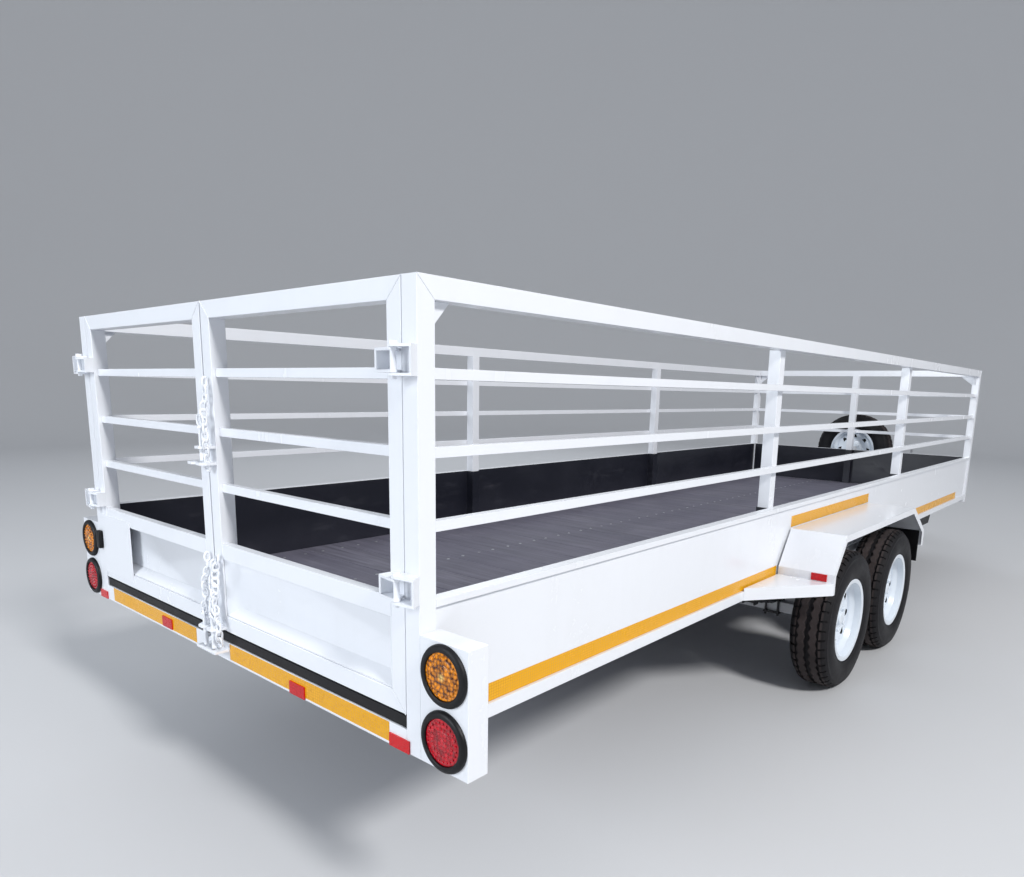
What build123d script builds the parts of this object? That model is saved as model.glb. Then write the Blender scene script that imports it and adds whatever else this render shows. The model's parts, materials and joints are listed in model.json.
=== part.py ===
from build123d import *
import math
import os

os.makedirs("parts", exist_ok=True)

# Driving dimensions, in millimetres. X points forward, Y to the left, Z up, ground at Z = 0.
BODY_L = 6000.0
BODY_W = 1930.0
TOP_Z = 1583.0
CAP_Z = 874.0
SILL_Z = 525.0
FLOOR_Z = 570.0
TUBE = 50.0
RAIL = 25.0
RAIL_Z = (1380.0, 1208.0, 1041.0)
BOX_W = 157.0
BOX_D = 62.0
BOX_Z0 = 498.0
BOX_Z1 = 803.0
TYRE_R = 325.0
TYRE_W = 185.0
RIM_R = 195.0
AXLE_X = (2420.0, 3161.0)
FENDER_OUT = 243.6
FENDER_Z = 767.0
DRAWBAR_L = 1290.0
SHEET = 3.0
WELD_GAP = 0.1

HW = BODY_W / 2
REAR_OVER = 46.0
NOSE_X = BODY_L + DRAWBAR_L
X0 = -(NOSE_X - REAR_OVER) / 2
HUB_OUT = FENDER_OUT - 20.0 - TYRE_W / 2
SIDES = (("right", -1), ("left", 1))


def slab(x0, x1, y0, y1, z0, z1, mode=Mode.ADD):
    with Locations((X0 + (x0 + x1) / 2, (y0 + y1) / 2, (z0 + z1) / 2)):
        Box(abs(x1 - x0), abs(y1 - y0), abs(z1 - z0), mode=mode)


def tube(axis, x0, x1, y0, y1, z0, z1, wall=SHEET):
    """A square tube, open at both ends along its axis."""
    slab(x0, x1, y0, y1, z0, z1)
    low_y = min(y0, y1)
    high_y = max(y0, y1)
    dx = 0 if axis == "x" else wall
    dy = 0 if axis == "y" else wall
    dz = 0 if axis == "z" else wall
    slab(x0 + dx, x1 - dx, low_y + dy, high_y - dy, z0 + dz, z1 - dz, Mode.SUBTRACT)


def cyl_z(x, y, z0, z1, r, mode=Mode.ADD):
    with Locations((X0 + x, y, (z0 + z1) / 2)):
        Cylinder(r, z1 - z0, mode=mode)


def cyl_y(x, y0, y1, z, r, mode=Mode.ADD):
    with Locations(Location((X0 + x, (y0 + y1) / 2, z), (90, 0, 0))):
        Cylinder(r, abs(y1 - y0), mode=mode)


def cyl_x(x0, x1, y, z, r, mode=Mode.ADD):
    with Locations(Location((X0 + (x0 + x1) / 2, y, z), (0, 90, 0))):
        Cylinder(r, abs(x1 - x0), mode=mode)


def plate_xz(points, y0, y1, mode=Mode.ADD):
    """A flat plate whose outline lies in the X-Z plane, between two Y values."""
    with BuildSketch(Plane(origin=(X0, max(y0, y1), 0), x_dir=(1, 0, 0), z_dir=(0, -1, 0))) as outline:
        with BuildLine():
            Polyline(*points, close=True)
        make_face()
    extrude(outline.sketch, amount=abs(y1 - y0), mode=mode)


def plate_yz(points, x0, x1, mode=Mode.ADD):
    """A flat plate whose outline lies in the Y-Z plane, between two X values."""
    with BuildSketch(Plane(origin=(X0 + x0, 0, 0), x_dir=(0, 1, 0), z_dir=(1, 0, 0))) as outline:
        with BuildLine():
            Polyline(*points, close=True)
        make_face()
    extrude(outline.sketch, amount=x1 - x0, mode=mode)


def plate_xy(points, z0, z1, mode=Mode.ADD):
    """A flat plate whose outline lies in the X-Y plane, between two heights."""
    moved = [(X0 + px, py) for px, py in points]
    with BuildSketch(Plane.XY.offset(z0)) as outline:
        with BuildLine():
            Polyline(*moved, close=True)
        make_face()
    extrude(outline.sketch, amount=z1 - z0, mode=mode)


def spun_y(x, z, points, mode=Mode.ADD):
    """A ring about a Y axis; points are (radius, y)."""
    with BuildSketch(Plane(origin=(X0 + x, 0, z), x_dir=(1, 0, 0), z_dir=(0, 0, 1))) as outline:
        with BuildLine():
            Polyline(*points, close=True)
        make_face()
    revolve(outline.sketch, axis=Axis((X0 + x, 0, z), (0, 1, 0)), mode=mode)


def spun_x(y, z, points, mode=Mode.ADD):
    """A ring about an X axis; points are (radius, x)."""
    moved = [(r, X0 + px) for r, px in points]
    with BuildSketch(Plane(origin=(0, y, z), x_dir=(0, 0, 1), z_dir=(0, 1, 0))) as outline:
        with BuildLine():
            Polyline(*moved, close=True)
        make_face()
    revolve(outline.sketch, axis=Axis((0, y, z), (1, 0, 0)), mode=mode)


def hollow_xy(points, z0, z1, wall=4.0):
    """A closed hollow beam whose outline lies in the X-Y plane."""
    moved = [(X0 + px, py) for px, py in points]
    with BuildSketch(Plane.XY.offset(z0)) as outline:
        with BuildLine():
            Polyline(*moved, close=True)
        make_face()
    with BuildSketch(Plane.XY.offset(z0 + wall)) as inside:
        with BuildLine():
            Polyline(*moved, close=True)
        make_face()
        offset(amount=-wall, mode=Mode.REPLACE)
    extrude(outline.sketch, amount=z1 - z0)
    extrude(inside.sketch, amount=z1 - z0 - 2 * wall, mode=Mode.SUBTRACT)


def hollow_yz(points, x0, x1, wall=3.0):
    """A closed hollow bar whose outline lies in the Y-Z plane."""
    with BuildSketch(Plane(origin=(X0 + x0, 0, 0), x_dir=(0, 1, 0), z_dir=(1, 0, 0))) as outline:
        with BuildLine():
            Polyline(*points, close=True)
        make_face()
    with BuildSketch(Plane(origin=(X0 + x0 + wall, 0, 0), x_dir=(0, 1, 0), z_dir=(1, 0, 0))) as inside:
        with BuildLine():
            Polyline(*points, close=True)
        make_face()
        offset(amount=-wall, mode=Mode.REPLACE)
    extrude(outline.sketch, amount=x1 - x0)
    extrude(inside.sketch, amount=x1 - x0 - 2 * wall, mode=Mode.SUBTRACT)


def finish(builder, name):
    builder.part.label = name
    export_step(builder.part, "parts/" + name + ".step")


# Chassis: two long rails under the floor, tied by cross members.
RAIL_Y = HW - 150.0
RAIL_DEPTH = 75.0
RAIL_X0 = 60.0
RAIL_X1 = BODY_L - 10.0
with BuildPart() as main_rails:
    for name, s in SIDES:
        tube("x", RAIL_X0, RAIL_X1, s * (RAIL_Y - 25), s * (RAIL_Y + 25), SILL_Z - RAIL_DEPTH, SILL_Z)
finish(main_rails, "main_rails")

CROSS_COUNT = 10
CROSS_STEP = (BODY_L - 260.0) / (CROSS_COUNT - 1)
PLANK_T = 20.0
with BuildPart() as cross_members:
    for i in range(CROSS_COUNT):
        x = 110.0 + i * CROSS_STEP
        tube("y", x, x + 40, -(HW - 37.5), HW - 37.5, SILL_Z, FLOOR_Z - PLANK_T, 2.5)
finish(cross_members, "cross_members")

PLANK_W = 196.0
PLANK_GAP = 4.0
PLANK_HALF = HW - 41.6
FLOOR_X0 = 52.0
FLOOR_X1 = BODY_L - 52.0
PLANK_COUNT = int((FLOOR_X1 - FLOOR_X0) / (PLANK_W + PLANK_GAP))
PLANK_PITCH = (FLOOR_X1 - FLOOR_X0 + PLANK_GAP) / PLANK_COUNT
with BuildPart() as floor_planks:
    for i in range(PLANK_COUNT):
        x = FLOOR_X0 + i * PLANK_PITCH
        slab(x, x + PLANK_PITCH - PLANK_GAP, -PLANK_HALF, PLANK_HALF, FLOOR_Z - PLANK_T, FLOOR_Z)
    for name, s in SIDES:
        for k in (1, 2):
            xp = BODY_L * k / 3
            slab(xp - 32, xp + 32, s * (HW - 36), s * (HW - 96), FLOOR_Z - PLANK_T - 1, FLOOR_Z + 1, Mode.SUBTRACT)
finish(floor_planks, "floor_planks")

# Body sides: a sill tube, a sheet above it and a cap rail along its top.
SILL_H = 38.0
WALL_IN = 10.0
CAP_H = 18.0
with BuildPart() as side_sills:
    for name, s in SIDES:
        tube("x", TUBE + WELD_GAP, BODY_L - TUBE - WELD_GAP, s * HW, s * (HW - 37.4), SILL_Z, SILL_Z + SILL_H)
finish(side_sills, "side_sills")

WALL_Z0 = SILL_Z + SILL_H
WALL_Z1 = CAP_Z - CAP_H
with BuildPart() as side_walls:
    for name, s in SIDES:
        slab(TUBE, BODY_L - TUBE, s * (HW - WALL_IN), s * (HW - WALL_IN - SHEET), WALL_Z0, WALL_Z1)
finish(side_walls, "side_walls")

FRONT_IN = 12.0
with BuildPart() as front_wall:
    x = BODY_L - FRONT_IN
    slab(x - SHEET, x, -(HW - TUBE), HW - TUBE, SILL_Z, WALL_Z1)
    slab(x, BODY_L, -(HW - TUBE), HW - TUBE, SILL_Z, SILL_Z + SHEET)
finish(front_wall, "front_wall")

with BuildPart() as cap_rails:
    for name, s in SIDES:
        tube("x", TUBE + WELD_GAP, BODY_L - TUBE - WELD_GAP, s * HW, s * (HW - 37.4), WALL_Z1, CAP_Z, 2.0)
    tube("y", BODY_L - 37.4, BODY_L, -(HW - TUBE - WELD_GAP), HW - TUBE - WELD_GAP, WALL_Z1, CAP_Z, 2.0)
finish(cap_rails, "cap_rails")

# Posts stand inside the rails, at the thirds of each side and the middle of the front.
POST_IN = TUBE / 2 + RAIL / 2
with BuildPart() as corner_posts:
    for name, s in SIDES:
        for x in (0.0, BODY_L - TUBE):
            tube("z", x, x + TUBE, s * HW, s * (HW - TUBE), BOX_Z0, TOP_Z)
        cut = [(-1, TOP_Z + 1), (TUBE + 1, TOP_Z + 1), (TUBE + 1, TOP_Z - TUBE - 1)]
        plate_xz(cut, s * (HW + 1), s * (HW - TUBE - 1), Mode.SUBTRACT)
        back = [(BODY_L - px, pz) for px, pz in cut]
        plate_xz(back, s * (HW + 1), s * (HW - TUBE - 1), Mode.SUBTRACT)
finish(corner_posts, "corner_posts")

with BuildPart() as side_posts:
    for name, s in SIDES:
        for k in (1, 2):
            x = BODY_L * k / 3 - TUBE / 2
            tube("z", x, x + TUBE, s * (HW - POST_IN), s * (HW - POST_IN - TUBE), SILL_Z + 25, TOP_Z - TUBE)
    tube("z", BODY_L - POST_IN - TUBE, BODY_L - POST_IN, -TUBE / 2, TUBE / 2, FLOOR_Z, TOP_Z - TUBE)
finish(side_posts, "side_posts")

with BuildPart() as top_rails:
    for name, s in SIDES:
        slab(0.0, BODY_L, s * HW, s * (HW - TUBE), TOP_Z - TUBE, TOP_Z)
        slab(6.0, BODY_L - 6.0, s * (HW - SHEET), s * (HW - TUBE + SHEET), TOP_Z - TUBE + SHEET, TOP_Z - SHEET, Mode.SUBTRACT)
        cut = [(-1, TOP_Z - TUBE - 1), (-1, TOP_Z + 1), (TUBE + 1, TOP_Z - TUBE - 1)]
        plate_xz(cut, s * (HW + 1), s * (HW - TUBE - 1), Mode.SUBTRACT)
        back = [(BODY_L - px, pz) for px, pz in cut]
        plate_xz(back, s * (HW + 1), s * (HW - TUBE - 1), Mode.SUBTRACT)
    tube("y", BODY_L - TUBE, BODY_L, -(HW - TUBE - WELD_GAP), HW - TUBE - WELD_GAP, TOP_Z - TUBE, TOP_Z)
finish(top_rails, "top_rails")

INSET = (TUBE - RAIL) / 2
with BuildPart() as body_rails:
    for z in RAIL_Z:
        for name, s in SIDES:
            tube("x", TUBE, BODY_L - TUBE, s * (HW - INSET), s * (HW - INSET - RAIL), z - RAIL / 2, z + RAIL / 2, 2.0)
        x = BODY_L - INSET
        tube("y", x - RAIL, x, -(HW - TUBE), HW - TUBE, z - RAIL / 2, z + RAIL / 2, 2.0)
finish(body_rails, "body_rails")

# Black lining sheets inside the low walls, boxed out around each post.
LINER_T = 4.0
POST_DEEP = POST_IN + TUBE + 0.1 + LINER_T
HALF_BOX = TUBE / 2 + 0.1 + LINER_T


def lining(start, end, posts, face):
    """Outline of a lining sheet, as (along, inward) pairs."""
    outer = [(start, face)]
    inner = [(start, face + LINER_T)]
    for c in posts:
        outer += [(c - HALF_BOX + LINER_T, face), (c - HALF_BOX + LINER_T, POST_DEEP - LINER_T)]
        outer += [(c + HALF_BOX - LINER_T, POST_DEEP - LINER_T), (c + HALF_BOX - LINER_T, face)]
        inner += [(c - HALF_BOX, face + LINER_T), (c - HALF_BOX, POST_DEEP)]
        inner += [(c + HALF_BOX, POST_DEEP), (c + HALF_BOX, face + LINER_T)]
    return outer + [(end, face)] + [(end, face + LINER_T)] + list(reversed(inner))


with BuildPart() as wall_liners:
    side_line = lining(TUBE + 0.1, BODY_L - TUBE - 0.1, [BODY_L / 3, BODY_L * 2 / 3], 37.5)
    for name, s in SIDES:
        plate_xy([(px, s * (HW - inward)) for px, inward in side_line], FLOOR_Z - PLANK_T + 0.1, CAP_Z - 1)
    front_line = lining(-(HW - TUBE - 0.1), HW - TUBE - 0.1, [0.0], 37.5)
    plate_xy([(BODY_L - inward, py) for py, inward in front_line], FLOOR_Z + 0.1, CAP_Z - 1)
finish(wall_liners, "wall_liners")

GUSSET = 62.0
with BuildPart() as gusset_plates:
    for name, s in SIDES:
        y0 = s * (HW - TUBE / 2 - 3)
        y1 = s * (HW - TUBE / 2 + 3)
        z = TOP_Z - TUBE
        for x, d in ((TUBE, 1), (BODY_L - TUBE, -1)):
            plate_xz([(x, z), (x + d * GUSSET, z), (x, z - GUSSET * 1.1)], y0, y1)
        x = BODY_L - TUBE / 2
        yc = s * (HW - TUBE)
        plate_yz([(yc, z), (yc - s * 90, z), (yc, z - 70)], x - 3, x + 3)
finish(gusset_plates, "gusset_plates")

# Rear sill below the gates, its rubber strip, lamp boxes and their lamps.
STRIP_Z0 = 557.0
STRIP_Z1 = 592.0
LAMP_R = 73.0
LENS_R = 52.0
LAMP_Y = HW + BOX_W - LAMP_R - 1.5
LAMP_Z = (728.0, 573.0)
LATCH_X = -30.0
LATCH_Y = -26.0
LATCH_R = 7.0
LATCH_GAP = LATCH_R + 0.1
LOOP_OUT = 46.0
KEEP_Z = 530.0


def pin_loop(edges, z0, z1):
    """Flat bars welded into square loops; pins drop between each bar and the next."""
    for y0, y1 in edges:
        slab(-LOOP_OUT, -WELD_GAP, y0, y1, z0, z1)
    for k in range(len(edges) - 1):
        y0 = edges[k][1] + WELD_GAP
        y1 = edges[k + 1][0] - WELD_GAP
        if y1 - y0 < 3 * LATCH_R:
            slab(-LOOP_OUT, LATCH_X - LATCH_GAP, y0, y1, z0, z1)
            slab(LATCH_X + LATCH_GAP, -WELD_GAP, y0, y1, z0, z1)


with BuildPart() as rear_sill:
    tube("y", 0.0, TUBE, -(HW - TUBE - WELD_GAP), HW - TUBE - WELD_GAP, BOX_Z0, STRIP_Z0)
    inner = -LATCH_Y - LATCH_GAP
    outer = -LATCH_Y + LATCH_GAP
    pin_loop([(-60.0, -outer), (-inner, inner), (outer, 60.0)], KEEP_Z, KEEP_Z + 8)
finish(rear_sill, "rear_sill")

with BuildPart() as sill_strip:
    slab(4.0, 46.0, -(HW - TUBE - 1), HW - TUBE - 1, STRIP_Z0, STRIP_Z1 - 4)
finish(sill_strip, "sill_strip")

with BuildPart() as lamp_boxes:
    for name, s in SIDES:
        slab(0.0, BOX_D, s * HW, s * (HW + BOX_W), BOX_Z0, BOX_Z1)
        slab(SHEET, BOX_D + 1, s * (HW + SHEET), s * (HW + BOX_W - SHEET), BOX_Z0 + SHEET, BOX_Z1 - SHEET, Mode.SUBTRACT)
        for z in LAMP_Z:
            cyl_x(-1, SHEET + 1, s * LAMP_Y, z, LENS_R + 5, Mode.SUBTRACT)
finish(lamp_boxes, "lamp_boxes")

with BuildPart() as lamp_bases:
    for name, s in SIDES:
        for z in LAMP_Z:
            cyl_x(-9.0, 0.0, s * LAMP_Y, z, LAMP_R)
            cyl_x(0.0, 24.0, s * LAMP_Y, z, LENS_R + 4.7)
            cyl_x(-10.0, -2.0, s * LAMP_Y, z, LENS_R, Mode.SUBTRACT)
    slab(-16.0, 0.0, HW - 44, HW - 14, 705.0, 775.0)
finish(lamp_bases, "lamp_bases")

for lens_name, z in (("amber_lenses", LAMP_Z[0]), ("red_lenses", LAMP_Z[1])):
    with BuildPart() as lens:
        for name, s in SIDES:
            cyl_x(-11.0, -2.0, s * LAMP_Y, z, LENS_R - 0.2)
    finish(lens, lens_name)

TAPE_T = 1.0
with BuildPart() as red_reflectors:
    for y, z in ((-(HW - 518), 519.0), (HW - 590, 526.0)):
        slab(-TAPE_T - 4.0, -TAPE_T, y - 37, y + 37, z - 18, z + 18)
    slab(-4.0, 0.0, -(HW - 75 + 37), -(HW - 75 - 37), 499.0, 531.0)
    slab(-4.0, 0.0, HW - 44, HW + 24, 499.0, 528.0)
    for name, s in SIDES:
        slab(2041.0, 2045.0, s * (HW + 146), s * (HW + 212), 580.0, 610.0)
finish(red_reflectors, "red_reflectors")

with BuildPart() as tape_strips:
    slab(-TAPE_T, 0.0, -(HW - 115), -65.0, 506.0, 556.0)
    slab(-TAPE_T, 0.0, 160.0, HW - 108, 506.0, 556.0)
    for name, s in SIDES:
        y0 = s * (HW - WALL_IN)
        y1 = s * (HW - WALL_IN + TAPE_T)
        slab(TUBE + 20, 2044.0, y0, y1, 564.0, 613.0)
        slab(2175.0, 3290.0, y0, y1, FENDER_Z + 1, FENDER_Z + 51)
        slab(3525.0, BODY_L - TUBE - 330, y0, y1, 564.0, 613.0)
finish(tape_strips, "tape_strips")

# Fenders: a flat top over both wheels, sloped ends, upright end plates and a thin outer lip.
FX = (2045.0, 2155.0, 3265.0, 3520.0)
KNEE_Z = 613.0
LIP = 30.0
with BuildPart() as fenders:
    for name, s in SIDES:
        outer = [(FX[0], SILL_Z), (FX[0], KNEE_Z), (FX[1], FENDER_Z), (FX[2], FENDER_Z), (FX[3], KNEE_Z), (FX[3], SILL_Z)]
        inner = [(px, pz) for px, pz in outer]
        inner[0] = (FX[0] + SHEET, SILL_Z - 1)
        inner[1] = (FX[0] + SHEET, KNEE_Z - 1)
        inner[2] = (FX[1] + 1, FENDER_Z - SHEET)
        inner[3] = (FX[2] - 1, FENDER_Z - SHEET)
        inner[4] = (FX[3] - SHEET, KNEE_Z - 2)
        inner[5] = (FX[3] - SHEET, SILL_Z - 1)
        plate_xz(outer, s * (HW + 0.3), s * (HW + FENDER_OUT))
        plate_xz(inner, s * (HW - 1), s * (HW + FENDER_OUT + 1), Mode.SUBTRACT)
        rim = [(FX[0], SILL_Z), (FX[0], KNEE_Z), (FX[1], FENDER_Z), (FX[2], FENDER_Z), (FX[3], KNEE_Z), (FX[3], SILL_Z)]
        back = [(FX[3] - LIP, SILL_Z), (FX[3] - LIP, KNEE_Z - 12), (FX[2] - 12, FENDER_Z - LIP)]
        back += [(FX[1] + 12, FENDER_Z - LIP), (FX[0] + LIP - 12, KNEE_Z - 8), (FX[0] + LIP - 12, SILL_Z)]
        plate_xz(rim + back, s * (HW + FENDER_OUT - SHEET), s * (HW + FENDER_OUT))
        wedge = [(FX[0] - 340, s * (HW + 0.3)), (FX[0] - 0.1, s * (HW + 0.3)), (FX[0] - 0.1, s * (HW + FENDER_OUT))]
        hollow = [(FX[0] - 315, s * (HW - 1)), (FX[0] + 1, s * (HW - 1)), (FX[0] + 1, s * (HW + FENDER_OUT - 22))]
        plate_xy(wedge, SILL_Z, SILL_Z + 52)
        plate_xy(hollow, SILL_Z - 1, SILL_Z + 49, Mode.SUBTRACT)
finish(fenders, "fenders")

with BuildPart() as mudflaps:
    for name, s in SIDES:
        slab(FX[3] - SHEET - 5, FX[3] - SHEET, s * (HW + 8), s * (HW + FENDER_OUT - 22), 430.0, KNEE_Z - 6)
        bracket = [(4530.0, SILL_Z), (4840.0, SILL_Z), (4800.0, SILL_Z - 62), (4640.0, SILL_Z - 62)]
        plate_xz(bracket, s * (HW - 8), s * (HW - 14))
finish(mudflaps, "mudflaps")

# Running gear: tandem axles on leaf springs, joined by a rocker on each side.
AXLE_Z = TYRE_R
EYE_Z = 411.0
LEAF_HALF = (290.0, 220.0, 155.0, 95.0)
MID_X = (AXLE_X[0] + AXLE_X[1]) / 2
EYE_GAP = 90.5
OUTER_EYE = 290.0
with BuildPart() as leaf_springs:
    for name, s in SIDES:
        for x, d in ((AXLE_X[0], 1), (AXLE_X[1], -1)):
            inner_half = abs(MID_X - x) - EYE_GAP
            for k in range(4):
                hi = min(LEAF_HALF[k], inner_half)
                drop = 8.1 * k
                top = []
                for t in (-1.0, -0.6, -0.2, 0.2, 0.6, 1.0):
                    reach = LEAF_HALF[k] if t < 0 else hi
                    px = t * reach
                    top.append((x + d * px, 385.0 - drop + 26.0 * (px / OUTER_EYE) ** 2))
                low = [(px, pz - 8.0) for px, pz in reversed(top)]
                plate_xz(top + low, s * (RAIL_Y - 25), s * (RAIL_Y + 25))
            for px in (x - d * (OUTER_EYE + 8), x + d * (inner_half + 8)):
                cyl_y(px, s * (RAIL_Y - 25), s * (RAIL_Y + 25), EYE_Z, 13.0)
finish(leaf_springs, "leaf_springs")

with BuildPart() as spring_hangers:
    for name, s in SIDES:
        for x in (AXLE_X[0] - OUTER_EYE - 8, MID_X, AXLE_X[1] + OUTER_EYE + 8):
            for y0, y1 in ((RAIL_Y - 31.1, RAIL_Y - 25.1), (RAIL_Y + 25.1, RAIL_Y + 31.1)):
                shape = [(x - 45, 485.0), (x + 45, 485.0), (x + 20, EYE_Z - 18), (x - 20, EYE_Z - 18)]
                plate_xz(shape, s * y0, s * y1)
finish(spring_hangers, "spring_hangers")

with BuildPart() as rockers:
    for name, s in SIDES:
        reach = EYE_GAP - 8 - 13.2
        shape = [(MID_X - reach, EYE_Z - 9), (MID_X + reach, EYE_Z - 9), (MID_X + reach, EYE_Z + 9)]
        shape += [(MID_X + 22, EYE_Z + 26), (MID_X - 22, EYE_Z + 26), (MID_X - reach, EYE_Z + 9)]
        plate_xz(shape, s * (RAIL_Y - 25), s * (RAIL_Y + 25))
finish(rockers, "rockers")

SPINDLE_R = 20.0
SPINDLE_END = HW + HUB_OUT + 22.0
with BuildPart() as axles:
    for x in AXLE_X:
        tube("y", x - 25, x + 25, -(HW + 45), HW + 45, AXLE_Z - 25, AXLE_Z + 25, 5.0)
        for name, s in SIDES:
            slab(x - 25, x + 25, s * (HW + 35), s * (HW + 45), AXLE_Z - 25, AXLE_Z + 25)
            cyl_y(x, s * (HW + 45), s * SPINDLE_END, AXLE_Z, SPINDLE_R)
finish(axles, "axles")

PACK_LOW = 385.0 - 3 * 8.1 - 8.0
with BuildPart() as u_bolts:
    for name, s in SIDES:
        for x in AXLE_X:
            slab(x - 24, x + 24, s * (RAIL_Y - 25), s * (RAIL_Y + 25), AXLE_Z + 25, PACK_LOW)
            slab(x - 45, x + 45, s * (RAIL_Y - 40), s * (RAIL_Y + 40), AXLE_Z - 33, AXLE_Z - 25)
            for px in (x - 34, x + 34):
                slab(px - 6, px + 6, s * (RAIL_Y - 37), s * (RAIL_Y + 37), 386.5, 397.0)
                for py in (RAIL_Y - 31, RAIL_Y + 31):
                    cyl_z(px, s * py, AXLE_Z - 45, 390.0, 5.5)
finish(u_bolts, "u_bolts")

# Wheels: profiles are (radius, depth inward from the tyre's outer face).
HALF_TYRE = [(178.3, 17.0), (196.5, 16.6), (200.0, 10.0), (225.0, 2.5), (250.0, 0.0), (275.0, 2.5)]
HALF_TYRE += [(298.0, 9.0), (312.0, 17.0), (320.0, 27.0), (TYRE_R, 40.0)]
HALF_CORD = [(178.3, 31.0), (200.0, 22.0), (225.0, 14.5), (250.0, 12.0), (275.0, 14.5), (298.0, 24.0), (307.0, 46.0)]
TYRE = HALF_TYRE + [(r, TYRE_W - t) for r, t in reversed(HALF_TYRE)]
TYRE += [(r, TYRE_W - t) for r, t in HALF_CORD] + list(reversed(HALF_CORD))
BARREL = [(RIM_R, 12.0), (RIM_R, 16.0), (178.0, 16.4), (178.0, 50.0), (160.0, 70.0), (160.0, 110.0), (178.0, 130.0)]
BARREL += [(178.0, TYRE_W - 16.4), (RIM_R, TYRE_W - 16), (RIM_R, TYRE_W - 12), (174.0, TYRE_W - 12), (174.0, 132.0)]
BARREL += [(156.0, 112.0), (156.0, 68.0), (174.0, 48.0), (174.0, 12.0)]
DISC = [(34.0, 79.0), (62.0, 79.0), (76.0, 84.0), (132.0, 84.0), (148.0, 92.0), (158.0, 92.0), (158.0, 98.0)]
DISC += [(146.0, 98.0), (130.0, 90.0), (74.0, 90.0), (60.0, 86.0), (34.0, 86.0)]
VENTS = 8
NUTS = 5
PCD_R = 56.0


def wheel_y(x, s):
    face = HW + FENDER_OUT - 20.0
    spun_y(x, AXLE_Z, [(r, s * (face - t)) for r, t in BARREL])
    spun_y(x, AXLE_Z, [(r, s * (face - t)) for r, t in DISC])
    for i in range(VENTS):
        a = 2 * math.pi * (i + 0.35) / VENTS
        px = x + 116 * math.cos(a)
        cyl_y(px, s * (face - 78), s * (face - 96), AXLE_Z + 116 * math.sin(a), 11.0, Mode.SUBTRACT)
    hub = [(SPINDLE_R + 0.05, 72.0), (SPINDLE_R + 0.05, 160.0), (48.0, 160.0), (48.0, 86.0), (36.0, 86.0), (36.0, 66.0)]
    hub += [(30.0, 56.0), (0.0, 56.0), (0.0, 62.0), (SPINDLE_R + 0.05, 62.0)]
    spun_y(x, AXLE_Z, [(r, s * (face - t)) for r, t in hub])
    for i in range(NUTS):
        a = 2 * math.pi * i / NUTS
        px = x + PCD_R * math.cos(a)
        cyl_y(px, s * (face - 63), s * (face - 82), AXLE_Z + PCD_R * math.sin(a), 10.5)


for side_name, s in SIDES:
    for end_name, x in (("rear", AXLE_X[0]), ("front", AXLE_X[1])):
        with BuildPart() as rim_part:
            wheel_y(x, s)
        finish(rim_part, "rim_" + end_name + "_" + side_name)
        with BuildPart() as tyre_part:
            spun_y(x, AXLE_Z, [(r, s * (HW + FENDER_OUT - 20.0 - t)) for r, t in TYRE])
        finish(tyre_part, "tyre_" + end_name + "_" + side_name)

# Spare wheel, upright ahead of the front wall, on a post carried by the drawbar.
SPARE_X = BODY_L + 100.0
SPARE_Y = 35.0
SPARE_Z = 865.0
with BuildPart() as spare_tyre:
    spun_x(SPARE_Y, SPARE_Z, [(r, SPARE_X + t) for r, t in TYRE])
finish(spare_tyre, "spare_tyre")

with BuildPart() as spare_rim:
    spun_x(SPARE_Y, SPARE_Z, [(r, SPARE_X + t) for r, t in BARREL])
    spun_x(SPARE_Y, SPARE_Z, [(r, SPARE_X + t) for r, t in DISC])
    for i in range(VENTS):
        a = 2 * math.pi * (i + 0.35) / VENTS
        py = SPARE_Y + 116 * math.cos(a)
        cyl_x(SPARE_X + 78, SPARE_X + 96, py, SPARE_Z + 116 * math.sin(a), 11.0, Mode.SUBTRACT)
finish(spare_rim, "spare_rim")

BEAM_Z0 = SILL_Z - RAIL_DEPTH
CARRIER_X = SPARE_X + TYRE_W + 12.0
with BuildPart() as spare_carrier:
    tube("y", CARRIER_X, CARRIER_X + 50, -430.0, 430.0, SILL_Z, SILL_Z + 50)
    tube("z", CARRIER_X, CARRIER_X + 50, SPARE_Y - 25, SPARE_Y + 25, SILL_Z + 50.1, SPARE_Z + 70)
    cyl_x(SPARE_X + 86.2, CARRIER_X, SPARE_Y, SPARE_Z, 58.0)
    cyl_x(SPARE_X + 60.0, SPARE_X + 86.2, SPARE_Y, SPARE_Z, 32.0)
    for i in range(3):
        a = 2 * math.pi * i / 3 + 0.5
        cyl_x(SPARE_X + 66, SPARE_X + 78.8, SPARE_Y + 50 * math.cos(a), SPARE_Z + 50 * math.sin(a), 9.0)
finish(spare_carrier, "spare_carrier")

# Drawbar: two beams that run in from the chassis to the coupler.
BEAM_X0 = BODY_L - 640.0
BEAM_X1 = NOSE_X - 178.0
with BuildPart() as drawbar_beams:
    for name, s in SIDES:
        ya = RAIL_Y - 25.3
        back = [(BEAM_X0, s * ya), (BEAM_X0, s * (ya - 56)), (BEAM_X1, s * 7.0), (BEAM_X1, s * 60.0)]
        hollow_xy(back, BEAM_Z0, SILL_Z)
    tube("y", RAIL_X1 - 60, RAIL_X1, -(RAIL_Y - 120), RAIL_Y - 120, BEAM_Z0 - 50.2, BEAM_Z0 - 0.2)
finish(drawbar_beams, "drawbar_beams")

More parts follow.
